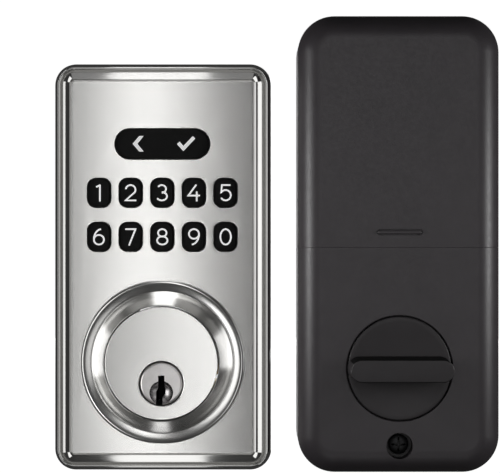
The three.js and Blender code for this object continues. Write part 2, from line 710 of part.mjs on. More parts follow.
/** An AA cell: its jacket with a shoulder at each end, and its positive pip at the upper or lower end. */
function cell(index) {
  const { radius, length, low } = CELL;
  const pipUp = index % 2 === 0;
  const outline = [
    [0, 0],
    [radius - 1, 0],
    [radius, 0.8],
    [radius, length - 0.8],
    [radius - 1, length],
    [2.7, length],
    [2.7, length + 1.3],
    [0, length + 1.3],
  ];
  const points = outline.map(([r, along]) => new THREE.Vector2(r, along));
  const geometry = new THREE.LatheGeometry(points, 14);
  geometry.rotateX(pipUp ? Math.PI / 2 : -Math.PI / 2);
  const z = pipUp ? low : low + length;
  geometry.translate(cellX(index), -CELL.depth, z);
  return solidOf(geometry);
}

const cellX = (index) => (index - 1.5) * CELL.pitch;

/** The conical coil that presses on a cell's negative end. */
class ConeCoil extends THREE.Curve {
  constructor(turns, baseRadius, tipRadius, height) {
    super();
    Object.assign(this, { turns, baseRadius, tipRadius, height });
  }

  getPoint(t) {
    const angle = t * this.turns * 2 * Math.PI;
    const radius = this.baseRadius + (this.tipRadius - this.baseRadius) * t;
    return new THREE.Vector3(radius * Math.cos(angle), radius * Math.sin(angle), t * this.height);
  }
}

/** A cell's coil spring or raised button, standing on a tray end wall. `end` is -1 below, 1 above. */
function contactPoint(index, end) {
  const wallFace = end < 0 ? TRAY.low + TRAY.wall : TRAY.high - TRAY.wall;
  const pipUp = index % 2 === 0;
  const meetsPip = pipUp === end > 0;
  let geometry;
  if (meetsPip) {
    geometry = new THREE.CylinderGeometry(2.2, 3, BUTTON_HEIGHT, 12);
    geometry.rotateX(Math.PI / 2);
    geometry.translate(0, 0, CONTACT_GAP + BUTTON_HEIGHT / 2);
  } else {
    const wire = new THREE.Shape().absarc(0, 0, 0.4, 0, 2 * Math.PI);
    geometry = new THREE.ExtrudeGeometry(wire, {
      steps: 20,
      curveSegments: 4,
      extrudePath: new ConeCoil(2.5, 3.9, 2, 3),
    });
    geometry.translate(0, 0, CONTACT_GAP + 0.4);
  }
  if (end > 0) geometry.rotateX(Math.PI);
  geometry.translate(cellX(index), -CELL.depth, wallFace);
  return solidOf(geometry);
}

/** One contact strip: a thin sheet on an end wall of the tray, with the contact point of each cell. */
function batteryContact(cells, end) {
  const wallFace = end < 0 ? TRAY.low + TRAY.wall : TRAY.high - TRAY.wall;
  const middle = cells.reduce((sum, index) => sum + cellX(index), 0) / cells.length;
  const width = (cells.length - 1) * CELL.pitch + 8;
  const thickness = 0.5;
  const geometry = new THREE.BoxGeometry(width, 9.2, thickness);
  geometry.translate(middle, -CELL.depth + 0.6, wallFace - end * (CONTACT_GAP + thickness / 2));
  return join(solidOf(geometry), ...cells.map((index) => contactPoint(index, end)));
}

const CONTACT_STRIPS = [
  { cells: [0], end: -1 },
  { cells: [1, 2], end: -1 },
  { cells: [3], end: -1 },
  { cells: [0, 1], end: 1 },
  { cells: [2, 3], end: 1 },
];

/** The main circuit board behind the battery tray, with its controller, radio and driver. */
function mainBoard() {
  const [rear, front] = [7.6, 9.2];
  return join(
    slab({ width: 48, height: 52, radius: 2 }, rear, front, 0, 103),
    block(12, 12, front - 0.2, front + 1.6, -8, 108),
    block(16, 10, front - 0.2, front + 2.4, 11, 116),
    block(6, 5, front - 0.2, front + 1.2, 8, 92),
  );
}

/** The board's socket for the keypad's cable, next to the window that the cable comes through. */
const cableSocket = () =>
  cut(block(11, 6, 4.4, 10.2, CABLE_WINDOW.x, 53), block(9, 4, 5.8, 12, CABLE_WINDOW.x, 53));

/** The switch that reads the spindle's position. */
const positionSwitch = () =>
  join(block(9, 5, 4.4, 9.4, -20, 20), block(2, 1.6, 6, 8, -16, 23));

const buzzer = () => cut(disc(6, 4.4, 8.6, 18, 14), disc(1, 7, 10, 18, 14, 8));

// ---------------------------------------------------------------- assembly

function exteriorUnit() {
  const unit = new THREE.Group();
  addPiece(unit, "exterior_housing", exteriorHousing(), polishedNickel);
  addPiece(unit, "face_plate", facePlate(), satinNickel);
  for (const { digit, x, z } of keyPlaces()) addPiece(unit, `key_${digit}`, key(x, z), blackKey);
  addPiece(unit, "command_rocker", commandRocker(), blackKey);
  addPiece(unit, "keypad_membrane", keypadMembrane(), greySilicone);
  addPiece(unit, "keypad_board", keypadBoard(), greenBoard);
  addPiece(unit, "cylinder_ring", cylinderRing(), polishedNickel);
  addPiece(unit, "cylinder_cap", cylinderCap(), satinNickel);
  addPiece(unit, "cylinder_shell", cylinderShell(), zinc);
  addPiece(unit, "key_plug", keyPlug(), polishedNickel);
  addPiece(unit, "plug_clip", plugClip(), steel);
  addPiece(unit, "tailpiece", tailpiece(), steel);
  addPiece(unit, "exterior_gasket", exteriorGasket(), blackRubber);
  addPiece(unit, "back_plate", backPlate(), steel);
  backScrewPlaces().forEach(([x, z], i) =>
    addPiece(unit, `back_plate_screw_${i + 1}`, backPlateScrew(x, z), steel),
  );
  addPiece(unit, "bolt_post_left", boltPost(-1), brass);
  addPiece(unit, "bolt_post_right", boltPost(1), brass);
  return unit;
}

function interiorUnit() {
  const unit = new THREE.Group();
  addPiece(unit, "lower_cover", lowerCover(), blackHousing);
  addPiece(unit, "battery_cover", batteryCover(), blackHousing);
  addPiece(unit, "cover_screw", coverScrew(), steel);
  addPiece(unit, "thumbturn", thumbturn(), blackHousing);
  addPiece(unit, "thumbturn_spindle", thumbturnSpindle(), zinc);
  addPiece(unit, "drive_gear", driveGear(), whiteNylon);
  addPiece(unit, "idler_gear", idlerGear(), whiteNylon);
  addPiece(unit, "idler_axle", idlerAxle(), steel);
  addPiece(unit, "motor_pinion", motorPinion(), brass);
  addPiece(unit, "motor", motor(), steel);
  addPiece(unit, "gearbox_plate", gearboxPlate(), darkPlastic);
  addPiece(unit, "chassis", chassis(), darkPlastic);
  addPiece(unit, "mounting_plate", mountingPlate(), steel);
  addPiece(unit, "through_bolt_left", throughBolt(-1), steel);
  addPiece(unit, "through_bolt_right", throughBolt(1), steel);
  chassisScrewPlaces().forEach(([x, z], i) =>
    addPiece(unit, `chassis_screw_${i + 1}`, chassisScrew(x, z), steel),
  );
  for (let i = 0; i < 4; i++) addPiece(unit, `battery_${i + 1}`, cell(i), cellJacket);
  CONTACT_STRIPS.forEach(({ cells, end }, i) =>
    addPiece(unit, `battery_contact_${i + 1}`, batteryContact(cells, end), steel),
  );
  addPiece(unit, "main_board", mainBoard(), greenBoard);
  addPiece(unit, "cable_socket", cableSocket(), whiteNylon);
  addPiece(unit, "position_switch", positionSwitch(), darkPlastic);
  addPiece(unit, "buzzer", buzzer(), darkPlastic);
  return unit;
}

const lock = new THREE.Group();
const exterior = exteriorUnit();
const interior = interiorUnit();
const lowerEnd = -EXTERIOR.height / 2;
exterior.position.set(0, 0, lowerEnd);
interior.position.set(
  (EXTERIOR.width + INTERIOR.width) / 2 + UNIT_SPACE,
  0,
  lowerEnd + INTERIOR_RISE,
);
lock.add(exterior, interior);

export default lock;
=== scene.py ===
import json
import math

import bmesh
import bpy
from mathutils import Matrix, Vector
from mathutils.geometry import tessellate_polygon


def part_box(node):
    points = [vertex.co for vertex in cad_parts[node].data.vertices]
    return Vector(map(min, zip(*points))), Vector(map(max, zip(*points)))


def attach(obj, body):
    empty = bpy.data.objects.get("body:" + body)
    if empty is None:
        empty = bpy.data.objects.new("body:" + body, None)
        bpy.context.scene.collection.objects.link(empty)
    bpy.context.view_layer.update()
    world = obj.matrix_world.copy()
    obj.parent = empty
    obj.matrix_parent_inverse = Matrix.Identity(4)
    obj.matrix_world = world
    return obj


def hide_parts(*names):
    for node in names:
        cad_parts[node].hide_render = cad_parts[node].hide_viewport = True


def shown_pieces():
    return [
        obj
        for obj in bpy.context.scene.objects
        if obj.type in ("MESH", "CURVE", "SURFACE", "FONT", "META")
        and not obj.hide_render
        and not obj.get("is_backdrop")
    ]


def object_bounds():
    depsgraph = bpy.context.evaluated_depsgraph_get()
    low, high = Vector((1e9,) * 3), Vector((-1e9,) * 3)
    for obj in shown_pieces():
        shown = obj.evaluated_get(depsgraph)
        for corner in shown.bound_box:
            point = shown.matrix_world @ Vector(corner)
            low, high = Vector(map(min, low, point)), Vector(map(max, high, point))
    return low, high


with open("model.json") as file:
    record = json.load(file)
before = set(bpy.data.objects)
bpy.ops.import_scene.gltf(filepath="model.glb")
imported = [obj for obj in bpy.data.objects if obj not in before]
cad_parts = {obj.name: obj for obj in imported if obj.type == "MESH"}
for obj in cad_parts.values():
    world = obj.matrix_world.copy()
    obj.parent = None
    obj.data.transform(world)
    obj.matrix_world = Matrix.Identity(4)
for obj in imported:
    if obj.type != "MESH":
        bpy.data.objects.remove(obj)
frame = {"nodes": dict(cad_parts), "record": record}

CAD_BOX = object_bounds()
MM = 0.001

# Lengths are in millimetres from here on. A depth is a distance from the door's face towards -Y.


def span(node):
    """A CAD node's low and high corners in millimetres."""
    low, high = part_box(node)
    return [c / MM for c in low], [c / MM for c in high]


def centre(node):
    """The x and z of a CAD node's middle."""
    low, high = span(node)
    return (low[0] + high[0]) / 2, (low[2] + high[2]) / 2


def front(node):
    """The depth of a CAD node's foremost point."""
    return -span(node)[0][1]


def half_width(node):
    """Half the width of a CAD node, which is a round one's radius."""
    low, high = span(node)
    return (high[0] - low[0]) / 2


# ---------------------------------------------------------------- node materials


class Look:
    """A node-based material under construction, with a Principled BSDF as its shader."""

    def __init__(self, name, color, roughness, metallic=0.0, **sockets):
        self.material = bpy.data.materials.new(name)
        self.material.use_nodes = True
        self.tree = self.material.node_tree
        self.shader = self.tree.nodes["Principled BSDF"]
        self.set("Base Color", (*color, 1))
        self.set("Roughness", roughness)
        self.set("Metallic", metallic)
        for socket, value in sockets.items():
            self.set(socket.replace("_", " "), value)
        self.height = None
        self.coords = self.tree.nodes.new("ShaderNodeTexCoord").outputs["Object"]

    def set(self, socket, value):
        self.shader.inputs[socket].default_value = value

    def link(self, source, socket):
        self.tree.links.new(source, socket)

    def node(self, kind, **values):
        made = self.tree.nodes.new(kind)
        for key, value in values.items():
            if hasattr(made, key):
                setattr(made, key, value)
            else:
                made.inputs[key.replace("_", " ")].default_value = value
        return made

    def noise(self, scale, detail=3.0, roughness=0.55, stretch=(1, 1, 1)):
        """Noise with `scale` features a metre, pulled out along the axes whose stretch is small."""
        mapping = self.node("ShaderNodeMapping")
        mapping.inputs["Scale"].default_value = stretch
        self.link(self.coords, mapping.inputs["Vector"])
        texture = self.node("ShaderNodeTexNoise", Scale=scale, Detail=detail, Roughness=roughness)
        self.link(mapping.outputs["Vector"], texture.inputs["Vector"])
        return texture.outputs["Fac"]

    def spread(self, value, low, high, start=0.3, end=0.7):
        """Maps a 0 to 1 value that mostly lies between start and end to low to high."""
        ramp = self.node("ShaderNodeMapRange")
        limits = {"From Min": start, "From Max": end, "To Min": low, "To Max": high}
        for socket, number in limits.items():
            ramp.inputs[socket].default_value = number
        self.link(value, ramp.inputs["Value"])
        return ramp.outputs["Result"]

    def blend(self, factor, dark, light):
        """A colour between two, by a 0 to 1 value."""
        mix = self.node("ShaderNodeMix", data_type="RGBA")
        self.link(factor, mix.inputs["Factor"])
        mix.inputs[6].default_value = (*dark, 1)
        mix.inputs[7].default_value = (*light, 1)
        return mix.outputs[2]

    def color_from(self, value, dark, light, start=0.3, end=0.7):
        share = self.spread(value, 0, 1, start, end)
        self.link(self.blend(share, dark, light), self.shader.inputs["Base Color"])

    def roughness_from(self, value, low, high):
        self.link(self.spread(value, low, high), self.shader.inputs["Roughness"])

    def bump(self, value, strength, distance=0.00005):
        """Adds relief. Several bumps on one material are chained."""
        bump = self.node("ShaderNodeBump", Strength=strength, Distance=distance)
        self.link(value, bump.inputs["Height"])
        if self.height is not None:
            self.link(self.height, bump.inputs["Normal"])
        self.height = bump.outputs["Normal"]
        self.link(self.height, self.shader.inputs["Normal"])


def brushed(name, color, roughness, anisotropy, stretch, streak=0.03):
    """Brushed metal: fine parallel scratches, broader streaks, and a highlight pulled across them."""
    look = Look(name, color, roughness, 1.0, Anisotropic=anisotropy)
    fine = look.noise(2600, 2.0, 0.6, stretch)
    broad = look.noise(420, 3.0, 0.6, stretch)
    dark = [c * (1 - streak) for c in color]
    light = [min(1, c * (1 + streak)) for c in color]
    look.color_from(broad, dark, light)
    look.roughness_from(fine, roughness - 0.004, roughness + 0.004)
    look.bump(fine, 0.02, 0.000002)
    tangent = look.node("ShaderNodeTangent", direction_type="UV_MAP")
    look.link(tangent.outputs["Tangent"], look.shader.inputs["Tangent"])
    return look.material


def polished(name, color, roughness):
    """Polished metal with faint wipe marks."""
    look = Look(name, color, roughness, 1.0)
    smears = look.noise(90, 4.0, 0.6)
    look.roughness_from(smears, roughness * 0.9, roughness * 1.15)
    look.color_from(look.noise(45, 3.0), [c * 0.97 for c in color], color)
    return look.material


def moulded_plastic(name, color, roughness, grain=1.0, specular=0.5):
    """Moulded plastic with a fine spark-eroded grain and slight changes of gloss."""
    look = Look(name, color, roughness, 0.0, Specular_IOR_Level=specular)
    fine = look.noise(5200, 3.0, 0.65)
    soft = look.noise(160, 3.0, 0.5)
    look.color_from(soft, [c * 0.93 for c in color], [min(1, c * 1.07) for c in color])
    look.roughness_from(look.noise(900, 3.0), roughness - 0.05, roughness + 0.05)
    look.bump(fine, 0.25 * grain, 0.00003)
    return look.material


def back_lit(name, color, glow):
    """A translucent legend with light behind it, a little uneven over its strokes."""
    look = Look(name, color, 0.5, 0.0)
    patches = look.noise(600, 2.0)
    look.color_from(patches, [c * 0.94 for c in color], color)
    look.set("Emission Color", (*color, 1))
    look.link(look.spread(patches, glow * 0.92, glow * 1.05), look.shader.inputs["Emission Strength"])
    look.bump(look.noise(4000, 3.0), 0.1, 0.00002)
    return look.material


def plain_metal(name, color, roughness):
    """Turned, stamped or plated metal with tool marks and uneven plating."""
    look = Look(name, color, roughness, 1.0)
    marks = look.noise(1500, 3.0, 0.6)
    look.color_from(look.noise(220, 4.0), [c * 0.88 for c in color], [min(1, c * 1.06) for c in color])
    look.roughness_from(marks, roughness - 0.07, roughness + 0.08)
    look.bump(marks, 0.15, 0.00003)
    return look.material


def rubber(name, color):
    """Matt rubber with a mottled colour and a coarse skin."""
    look = Look(name, color, 0.75, 0.0, Specular_IOR_Level=0.3)
    look.color_from(look.noise(700, 4.0), [c * 0.8 for c in color], [c * 1.25 for c in color])
    look.bump(look.noise(2800, 4.0, 0.7), 0.4, 0.00006)
    return look.material


def circuit_board(name):
    """Solder mask over a pattern of traces."""
    look = Look(name, (0.02, 0.12, 0.05), 0.35)
    mapping = look.node("ShaderNodeMapping")
    mapping.inputs["Scale"].default_value = (420, 420, 420)
    look.link(look.coords, mapping.inputs["Vector"])
    traces = look.node("ShaderNodeTexBrick", Scale=1.0, Mortar_Size=0.08)
    look.link(mapping.outputs["Vector"], traces.inputs["Vector"])
    green = look.blend(traces.outputs["Fac"], (0.012, 0.09, 0.035), (0.03, 0.19, 0.08))
    look.link(green, look.shader.inputs["Base Color"])
    look.bump(traces.outputs["Fac"], 0.3, 0.00004)
    return look.material


ALONG_Z = (1, 1, 0.012)  # scratches that run up and down
ALONG_Y = (1, 0.012, 1)  # scratches that run from front to rear
NO_GRAIN = (1, 1, 1)
POLISHED_NICKEL = (0.66, 0.655, 0.64)
MATERIALS = {
    "satin_nickel": brushed("satin_nickel", (0.76, 0.755, 0.735), 0.226, 0.6, ALONG_Z, 0.02),
    "polished_nickel": polished("polished_nickel", POLISHED_NICKEL, 0.07),
    "black_key": moulded_plastic("black_key", (0.005, 0.005, 0.005), 0.42, 0.5, 0.15),
    "black_housing": moulded_plastic("black_housing", (0.0345, 0.030, 0.0335), 0.43, 1.0, 0.5),
    "grey_silicone": rubber("grey_silicone", (0.16, 0.16, 0.17)),
    "gasket_rubber": rubber("gasket_rubber", (0.015, 0.015, 0.015)),
    "circuit_board": circuit_board("circuit_board"),
    "zinc_alloy": plain_metal("zinc_alloy", (0.42, 0.43, 0.44), 0.45),
    "steel": plain_metal("steel", (0.60, 0.61, 0.62), 0.32),
    "brass": plain_metal("brass", (0.72, 0.52, 0.22), 0.28),
    "white_nylon": moulded_plastic("white_nylon", (0.70, 0.68, 0.62), 0.45, 0.6),
    "dark_plastic": moulded_plastic("dark_plastic", (0.018, 0.018, 0.020), 0.6, 1.2, 0.4),
    "cell_jacket": moulded_plastic("cell_jacket", (0.045, 0.09, 0.14), 0.3, 0.2, 0.6),
    # Looks for single pieces and faces, beyond the slots of the record.
    "knob_black": moulded_plastic("knob_black", (0.0325, 0.0295, 0.0315), 0.48, 1.0, 0.33),
    # Painted shade: a darker, duller copy of the thumbturn's plastic for the bar's long sides.
    "knob_painted_shade": moulded_plastic("knob_painted_shade", (0.006, 0.006, 0.006), 0.65, 1.0, 0.07),
    "plug_face": brushed("plug_face", (0.60, 0.582, 0.575), 0.3, 0.3, NO_GRAIN, 0.05),
    "housing_side": brushed("housing_side", POLISHED_NICKEL, 0.3, 0.4, ALONG_Y, 0.03),
    "ring_nickel": polished("ring_nickel", POLISHED_NICKEL, 0.21),
    # Painted shade: near-black and darker copies of the plug's metal for the keyway and the pocket.
    "keyway": plain_metal("keyway", (0.012, 0.012, 0.012), 0.5),
    "pocket_painted_shade": plain_metal("pocket_painted_shade", (0.34, 0.33, 0.33), 0.24),
    "dark_screw": plain_metal("dark_screw", (0.035, 0.035, 0.036), 0.45),
    "legend_white": back_lit("legend_white", (0.88, 0.88, 0.88), 0.75),
    "legend_grey": back_lit("legend_grey", (0.84, 0.84, 0.84), 0.6),
    "cell_band": plain_metal("cell_band", (0.72, 0.42, 0.20), 0.3),
    "cell_end": plain_metal("cell_end", (0.70, 0.70, 0.70), 0.25),
}

SLOT_OF = {row["node"]: row["material_slot"] for row in frame["record"]["subparts"]}
BODIES = frame["record"]["behaviour"]["bodies"]
BODY_OF = {node: body for body, nodes in BODIES.items() for node in nodes}

# ---------------------------------------------------------------- mesh building


def rounded(width, height, radius, inset=0.0, steps=12):
    """The outline, counterclockwise, of a rounded rectangle `inset` inside the given one."""
    r = max(radius - inset, 0.05)
    half_w = width / 2 - inset - r
    half_h = height / 2 - inset - r
    points = []
    for quarter, (side_x, side_z) in enumerate(((1, 1), (-1, 1), (-1, -1), (1, -1))):
        for step in range(steps + 1):
            angle = (quarter + step / steps) * math.pi / 2
            x, z = r * math.cos(angle), r * math.sin(angle)
            points.append((side_x * half_w + x, side_z * half_h + z))
    return points


def circle(radius, steps=96):
    """A round outline, counterclockwise."""
    turns = [2 * math.pi * i / steps for i in range(steps)]
    return [(radius * math.cos(turn), radius * math.sin(turn)) for turn in turns]


def shifted(points, x, z):
    return [(px + x, pz + z) for px, pz in points]


def finish_mesh(bm, name):
    """A clean mesh in metres, with its faces turned outwards."""
    bmesh.ops.remove_doubles(bm, verts=bm.verts, dist=1e-4)
    bmesh.ops.recalc_face_normals(bm, faces=bm.faces)
    bmesh.ops.scale(bm, vec=(MM, MM, MM), verts=bm.verts)
    mesh = bpy.data.meshes.new(name)
    bm.to_mesh(mesh)
    bm.free()
    return mesh


def loft(rings, closed=False):
    """A solid through rings of equal point counts, given as lists of (x, depth, z).

    Its ends are capped, or when closed joined to each other.
    """
    bm = bmesh.new()
    rows = [[bm.verts.new((x, -depth, z)) for x, depth, z in ring] for ring in rings]
    count = len(rows[0])
    pairs = list(zip(rows, rows[1:])) + ([(rows[-1], rows[0])] if closed else [])
    for lower, upper in pairs:
        for i in range(count):
            j = (i + 1) % count
            bm.faces.new((lower[i], lower[j], upper[j], upper[i]))
    if not closed:
        bm.faces.new(rows[0])
        bm.faces.new(rows[-1])
    return bm


def moulded(size, profile, x, z, steps=12, closed=False):
    """A rounded rectangle carried through a profile of (inset, depth) pairs."""
    rings = []
    for inset, depth in profile:
        outline = shifted(rounded(*size, inset, steps), x, z)
        rings.append([(px, depth, pz) for px, pz in outline])
    return loft(rings, closed)


def turned(profile, x, z, sides=96):
    """A profile of (radius, depth) pairs turned about an axis along Y.

    A profile that doesn't start and end on the axis closes on itself.
    """
    bm = bmesh.new()
    rings = []
    for radius, depth in profile:
        if radius == 0:
            rings.append([bm.verts.new((x, -depth, z))])
        else:
            rings.append([bm.verts.new((x + px, -depth, z + pz)) for px, pz in circle(radius, sides)])
    whole = profile[0][0] == 0 and profile[-1][0] == 0
    pairs = list(zip(rings, rings[1:])) + ([] if whole else [(rings[-1], rings[0])])
    for lower, upper in pairs:
        for i in range(sides):
            j = (i + 1) % sides
            if len(lower) == 1:
                bm.faces.new((lower[0], upper[j], upper[i]))
            elif len(upper) == 1:
                bm.faces.new((lower[i], lower[j], upper[0]))
            else:
                bm.faces.new((lower[i], lower[j], upper[j], upper[i]))
    return bm


def arc(cx, cy, radius_x, radius_y, start, end, steps):
    """Points on an ellipse between two angles in degrees."""
    points = []
    for i in range(steps + 1):
        angle = math.radians(start + (end - start) * i / steps)
        points.append((cx + radius_x * math.cos(angle), cy + radius_y * math.sin(angle)))
    return points


def edge_round(radius, face, inset=0.0, steps=6):
    """Profile points of a quarter-round edge up to depth `face`, as (inset, depth) pairs."""
    points = []
    for i in range(steps + 1):
        angle = math.pi / 2 * i / steps
        points.append((inset + radius * (1 - math.cos(angle)), face - radius * (1 - math.sin(angle))))
    return points


def sheet(outer, holes, rear, face, bevel):
    """A flat sheet with holes, its front edges rounded. Each outline is a function of its inset."""
    bm = bmesh.new()

    def ring(outline, inset, depth):
        return [bm.verts.new((x, -depth, z)) for x, z in outline(inset)]

    def wall(outline, sign):
        """The rounded edge and side of one outline. Returns its front and rear loops."""
        steps = 3
        levels = [(sign * bevel, face)]
        for i in range(1, steps + 1):
            angle = math.pi / 2 * i / steps
            levels.append((sign * bevel * (1 - math.sin(angle)), face - bevel * (1 - math.cos(angle))))
        levels.append((0.0, rear))
        loops = [ring(outline, inset, depth) for inset, depth in levels]
        for upper, lower in zip(loops, loops[1:]):
            for i in range(len(upper)):
                j = (i + 1) % len(upper)
                bm.faces.new((upper[i], upper[j], lower[j], lower[i]))
        return loops[0], loops[-1]

    walls = [wall(outer, 1)] + [wall(hole, -1) for hole in holes]
    for side in (0, 1):
        loops = [pair[side] for pair in walls]
        flat = [v for loop in loops for v in loop]
        lines = [[Vector((v.co.x, v.co.z, 0)) for v in loop] for loop in loops]
        for triangle in tessellate_polygon(lines):
            try:
                bm.faces.new([flat[i] for i in triangle])
            except ValueError:
                pass
    return bm


def boolean(base, tools, operation):
    """A mesh joined with, or cut by, others. All are in metres."""
    holder = bpy.data.objects.new("work", base)
    bpy.context.scene.collection.objects.link(holder)
    workers = []
    for tool in tools:
        other = bpy.data.objects.new("tool", tool)
        bpy.context.scene.collection.objects.link(other)
        workers.append(other)
        modifier = holder.modifiers.new("cut", "BOOLEAN")
        modifier.operation = operation
        modifier.solver = "EXACT"
        modifier.object = other
    graph = bpy.context.evaluated_depsgraph_get()
    result = bpy.data.meshes.new_from_object(holder.evaluated_get(graph))
    for o in [holder, *workers]:
        bpy.data.objects.remove(o)
    return result


def as_mesh(shape, name="shape"):
    return shape if isinstance(shape, bpy.types.Mesh) else finish_mesh(shape, name)


def cut(base, *tools):
    return boolean(as_mesh(base), [as_mesh(t) for t in tools], "DIFFERENCE")


def join(base, *others):
    return boolean(as_mesh(base), [as_mesh(t) for t in others], "UNION")


def piece(name, shape, material, node=None, body=None, smooth=32, flat=False):
    """Puts a mesh in the scene as a named piece that rides on a body and may stand for a CAD node."""
    mesh = as_mesh(shape, name)
    mesh.name = name
    for polygon in mesh.polygons:
        polygon.use_smooth = True
    mesh.set_sharp_from_angle(angle=math.radians(smooth))
    layer = mesh.uv_layers.new(name="UVMap") if not mesh.uv_layers else mesh.uv_layers[0]
    for loop in mesh.loops:
        co = mesh.vertices[loop.vertex_index].co
        layer.data[loop.index].uv = (co.x * 10 + co.y, co.z * 10)
    mesh.materials.clear()
    mesh.materials.append(MATERIALS[material])
    made = bpy.data.objects.new(name, mesh)
    bpy.context.scene.collection.objects.link(made)
    if flat:
        modifier = made.modifiers.new("flat_faces", "WEIGHTED_NORMAL")
        modifier.keep_sharp = True
        modifier.weight = 100
    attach(made, body or BODY_OF[node])
    if node:
        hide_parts(node)
    return made


def paint(shown, materials, look_of):
    """Gives a piece further materials. `look_of` picks one for each face, from its middle and normal."""
    for material in materials:
        shown.data.materials.append(MATERIALS[material])
    for polygon in shown.data.polygons:
        polygon.material_index = look_of(polygon.center / MM, polygon.normal)


def restyle(node):
    """A CAD node that stays: its material, and softened edges."""
    shown = frame["nodes"][node]
    shown.data.materials.clear()
    shown.data.materials.append(MATERIALS[SLOT_OF[node]])
    modifier = shown.modifiers.new("edges", "BEVEL")
    modifier.width = 0.15 * MM
    modifier.segments = 2
    modifier.limit_method = "ANGLE"
    modifier.angle_limit = math.radians(40)


# ---------------------------------------------------------------- exterior unit: housing and plate

EXT_LOW, EXT_HIGH = span("exterior_housing")
EXT = (EXT_HIGH[0] - EXT_LOW[0], EXT_HIGH[2] - EXT_LOW[2], 6.6)
EXT_X, EXT_Z = centre("exterior_housing")
FACE = front("face_plate")
HOUSING_REAR = -EXT_HIGH[1]
HOUSING_WALL = 2.0
RIM_FOOT = 12.42  # depth of the parting line between the wall and the rim
TONGUE_FOOT = 11.0  # depth to which the rim's tongue reaches behind the wall
BEAD = 17.75  # depth of the rim's outer crest
LEDGE = (18.2, 16.0)  # depths of the ledge behind the face plate
RIM_INSET = 5.36
LEDGE_INSET = 6.9


def rim_profile():
    """The section of the housing's stepped rim, from its parting line to the ledge inside."""
    outside = [(0.06, RIM_FOOT), (0, RIM_FOOT + 0.13), (0.12, 13.8), (0.35, 15.2), (0.65, 16.3)]
    outside += [(0.95, 17.0), (1.15, 17.4)]
    crest = [(1.35, -0.09), (1.6, 0), (1.85, -0.07), (2.05, -0.3), (2.15, -0.6)]
    groove = [(2.25, -0.88), (2.4, -0.98), (2.52, -0.82), (2.62, -0.45), (2.7, -0.02)]
    bevel = [(2.95, 0.25), (3.4, 0.68), (4.0, 1.15), (4.6, 1.55), (5.1, 1.83), (5.28, 1.88)]
    bevel += [(RIM_INSET, 1.75)]
    steps = [(inset, BEAD + rise) for inset, rise in crest + groove + bevel]
    inside = [(RIM_INSET, LEDGE[0]), (LEDGE_INSET, LEDGE[0])]
    inside += [(LEDGE_INSET, LEDGE[1]), (HOUSING_WALL, LEDGE[1])]
    tongue = [(HOUSING_WALL, TONGUE_FOOT), (1.05, TONGUE_FOOT), (1.05, RIM_FOOT)]
    return outside + steps + inside + tongue


def wall_profile():
    """The section of the housing's wall, stepped to take the rim's tongue."""
    outside = [(0, HOUSING_REAR), (0, RIM_FOOT - 0.17), (0.06, RIM_FOOT - 0.08), (0.95, RIM_FOOT - 0.08)]
    inside = [(0.95, TONGUE_FOOT - 0.1), (HOUSING_WALL, TONGUE_FOOT - 0.1), (HOUSING_WALL, HOUSING_REAR)]
    return outside + inside


piece("housing_rim", moulded(EXT, rim_profile(), EXT_X, EXT_Z, 20, closed=True),
      "polished_nickel", "exterior_housing", smooth=50)
piece("housing_wall", moulded(EXT, wall_profile(), EXT_X, EXT_Z, 20, closed=True),
      "housing_side", body="lock_body", smooth=50)

KEY_NAMES = [f"key_{digit}" for digit in range(10)]
FLANGE_REACH = 0.7  # how far a key's flange stands out round its cap


def cap_size(node, radius):
    """The width and height of a key's cap, from its node's box, which the flange behind it fills."""
    low, high = span(node)
    return (high[0] - low[0] - 2 * FLANGE_REACH, high[2] - low[2] - 2 * FLANGE_REACH, radius)


KEY = cap_size("key_5", 2.5)
ROCKER = cap_size("command_rocker", 4.58)
RING_X, RING_Z = centre("cylinder_ring")
PLUG_X, PLUG_Z = centre("key_plug")
ROCKER_X, ROCKER_Z = centre("command_rocker")
HOLE_GAP = 0.13  # clearance round a key in the plate
PLATE_INSET = 5.6  # from the housing's side to the plate's
PLATE_THICKNESS = 1.2
RING_HOLE = 22.3


def plate_outline(inset):
    return shifted(rounded(*EXT, PLATE_INSET + inset, 10), EXT_X, EXT_Z)


def opening(size, x, z, steps=8):
    """The outline of a key's opening, as a function of its inset."""
    return lambda inset: shifted(rounded(*size, inset - HOLE_GAP, steps), x, z)


def face_shape():
    """The face plate, with its openings for the keys and the ring."""
    holes = [opening(KEY, *centre(name)) for name in KEY_NAMES]
    holes.append(opening(ROCKER, ROCKER_X, ROCKER_Z, 14))
    holes.append(lambda inset: shifted(circle(RING_HOLE - inset), RING_X, RING_Z))
    return sheet(plate_outline, holes, FACE - PLATE_THICKNESS, FACE, 0.28)


piece("brushed_face", face_shape(), "satin_nickel", "face_plate", flat=True)

# ---------------------------------------------------------------- exterior unit: keys and legends


def key_shape(size, x, z, steps, rear, flange_front, face):
    """A key cap with a softened edge and a slightly crowned top, its flange and its stem."""
    profile = [(1.9, rear), (1.9, flange_front - 1), (-0.7, flange_front - 1), (-0.7, flange_front)]
    profile += [(0, flange_front)]
    profile += edge_round(0.45, face - 0.05)
    profile += [(1.2, face - 0.015), (2.0, face)]
    return moulded(size, profile, x, z, steps)


def stroke(points, width, closed=False):
    """A flat ribbon that follows a line, as left and right edge points."""
    count = len(points)
    left, right = [], []
    for i, (x, z) in enumerate(points):
        before = points[(i - 1) % count] if closed or i else points[i]
        after = points[(i + 1) % count] if closed or i + 1 < count else points[i]
        if before == points[i]:
            before = (2 * x - after[0], 2 * z - after[1])
        if after == points[i]:
            after = (2 * x - before[0], 2 * z - before[1])
        first = Vector((x - before[0], z - before[1])).normalized()
        second = Vector((after[0] - x, after[1] - z)).normalized()
        normal_a = Vector((-first.y, first.x))
        normal_b = Vector((-second.y, second.x))
        normal = (normal_a + normal_b).normalized()
        reach = width / 2 / max(normal.dot(normal_a), 0.45)
        left.append((x + normal.x * reach, z + normal.y * reach))
        right.append((x - normal.x * reach, z - normal.y * reach))
    return left, right


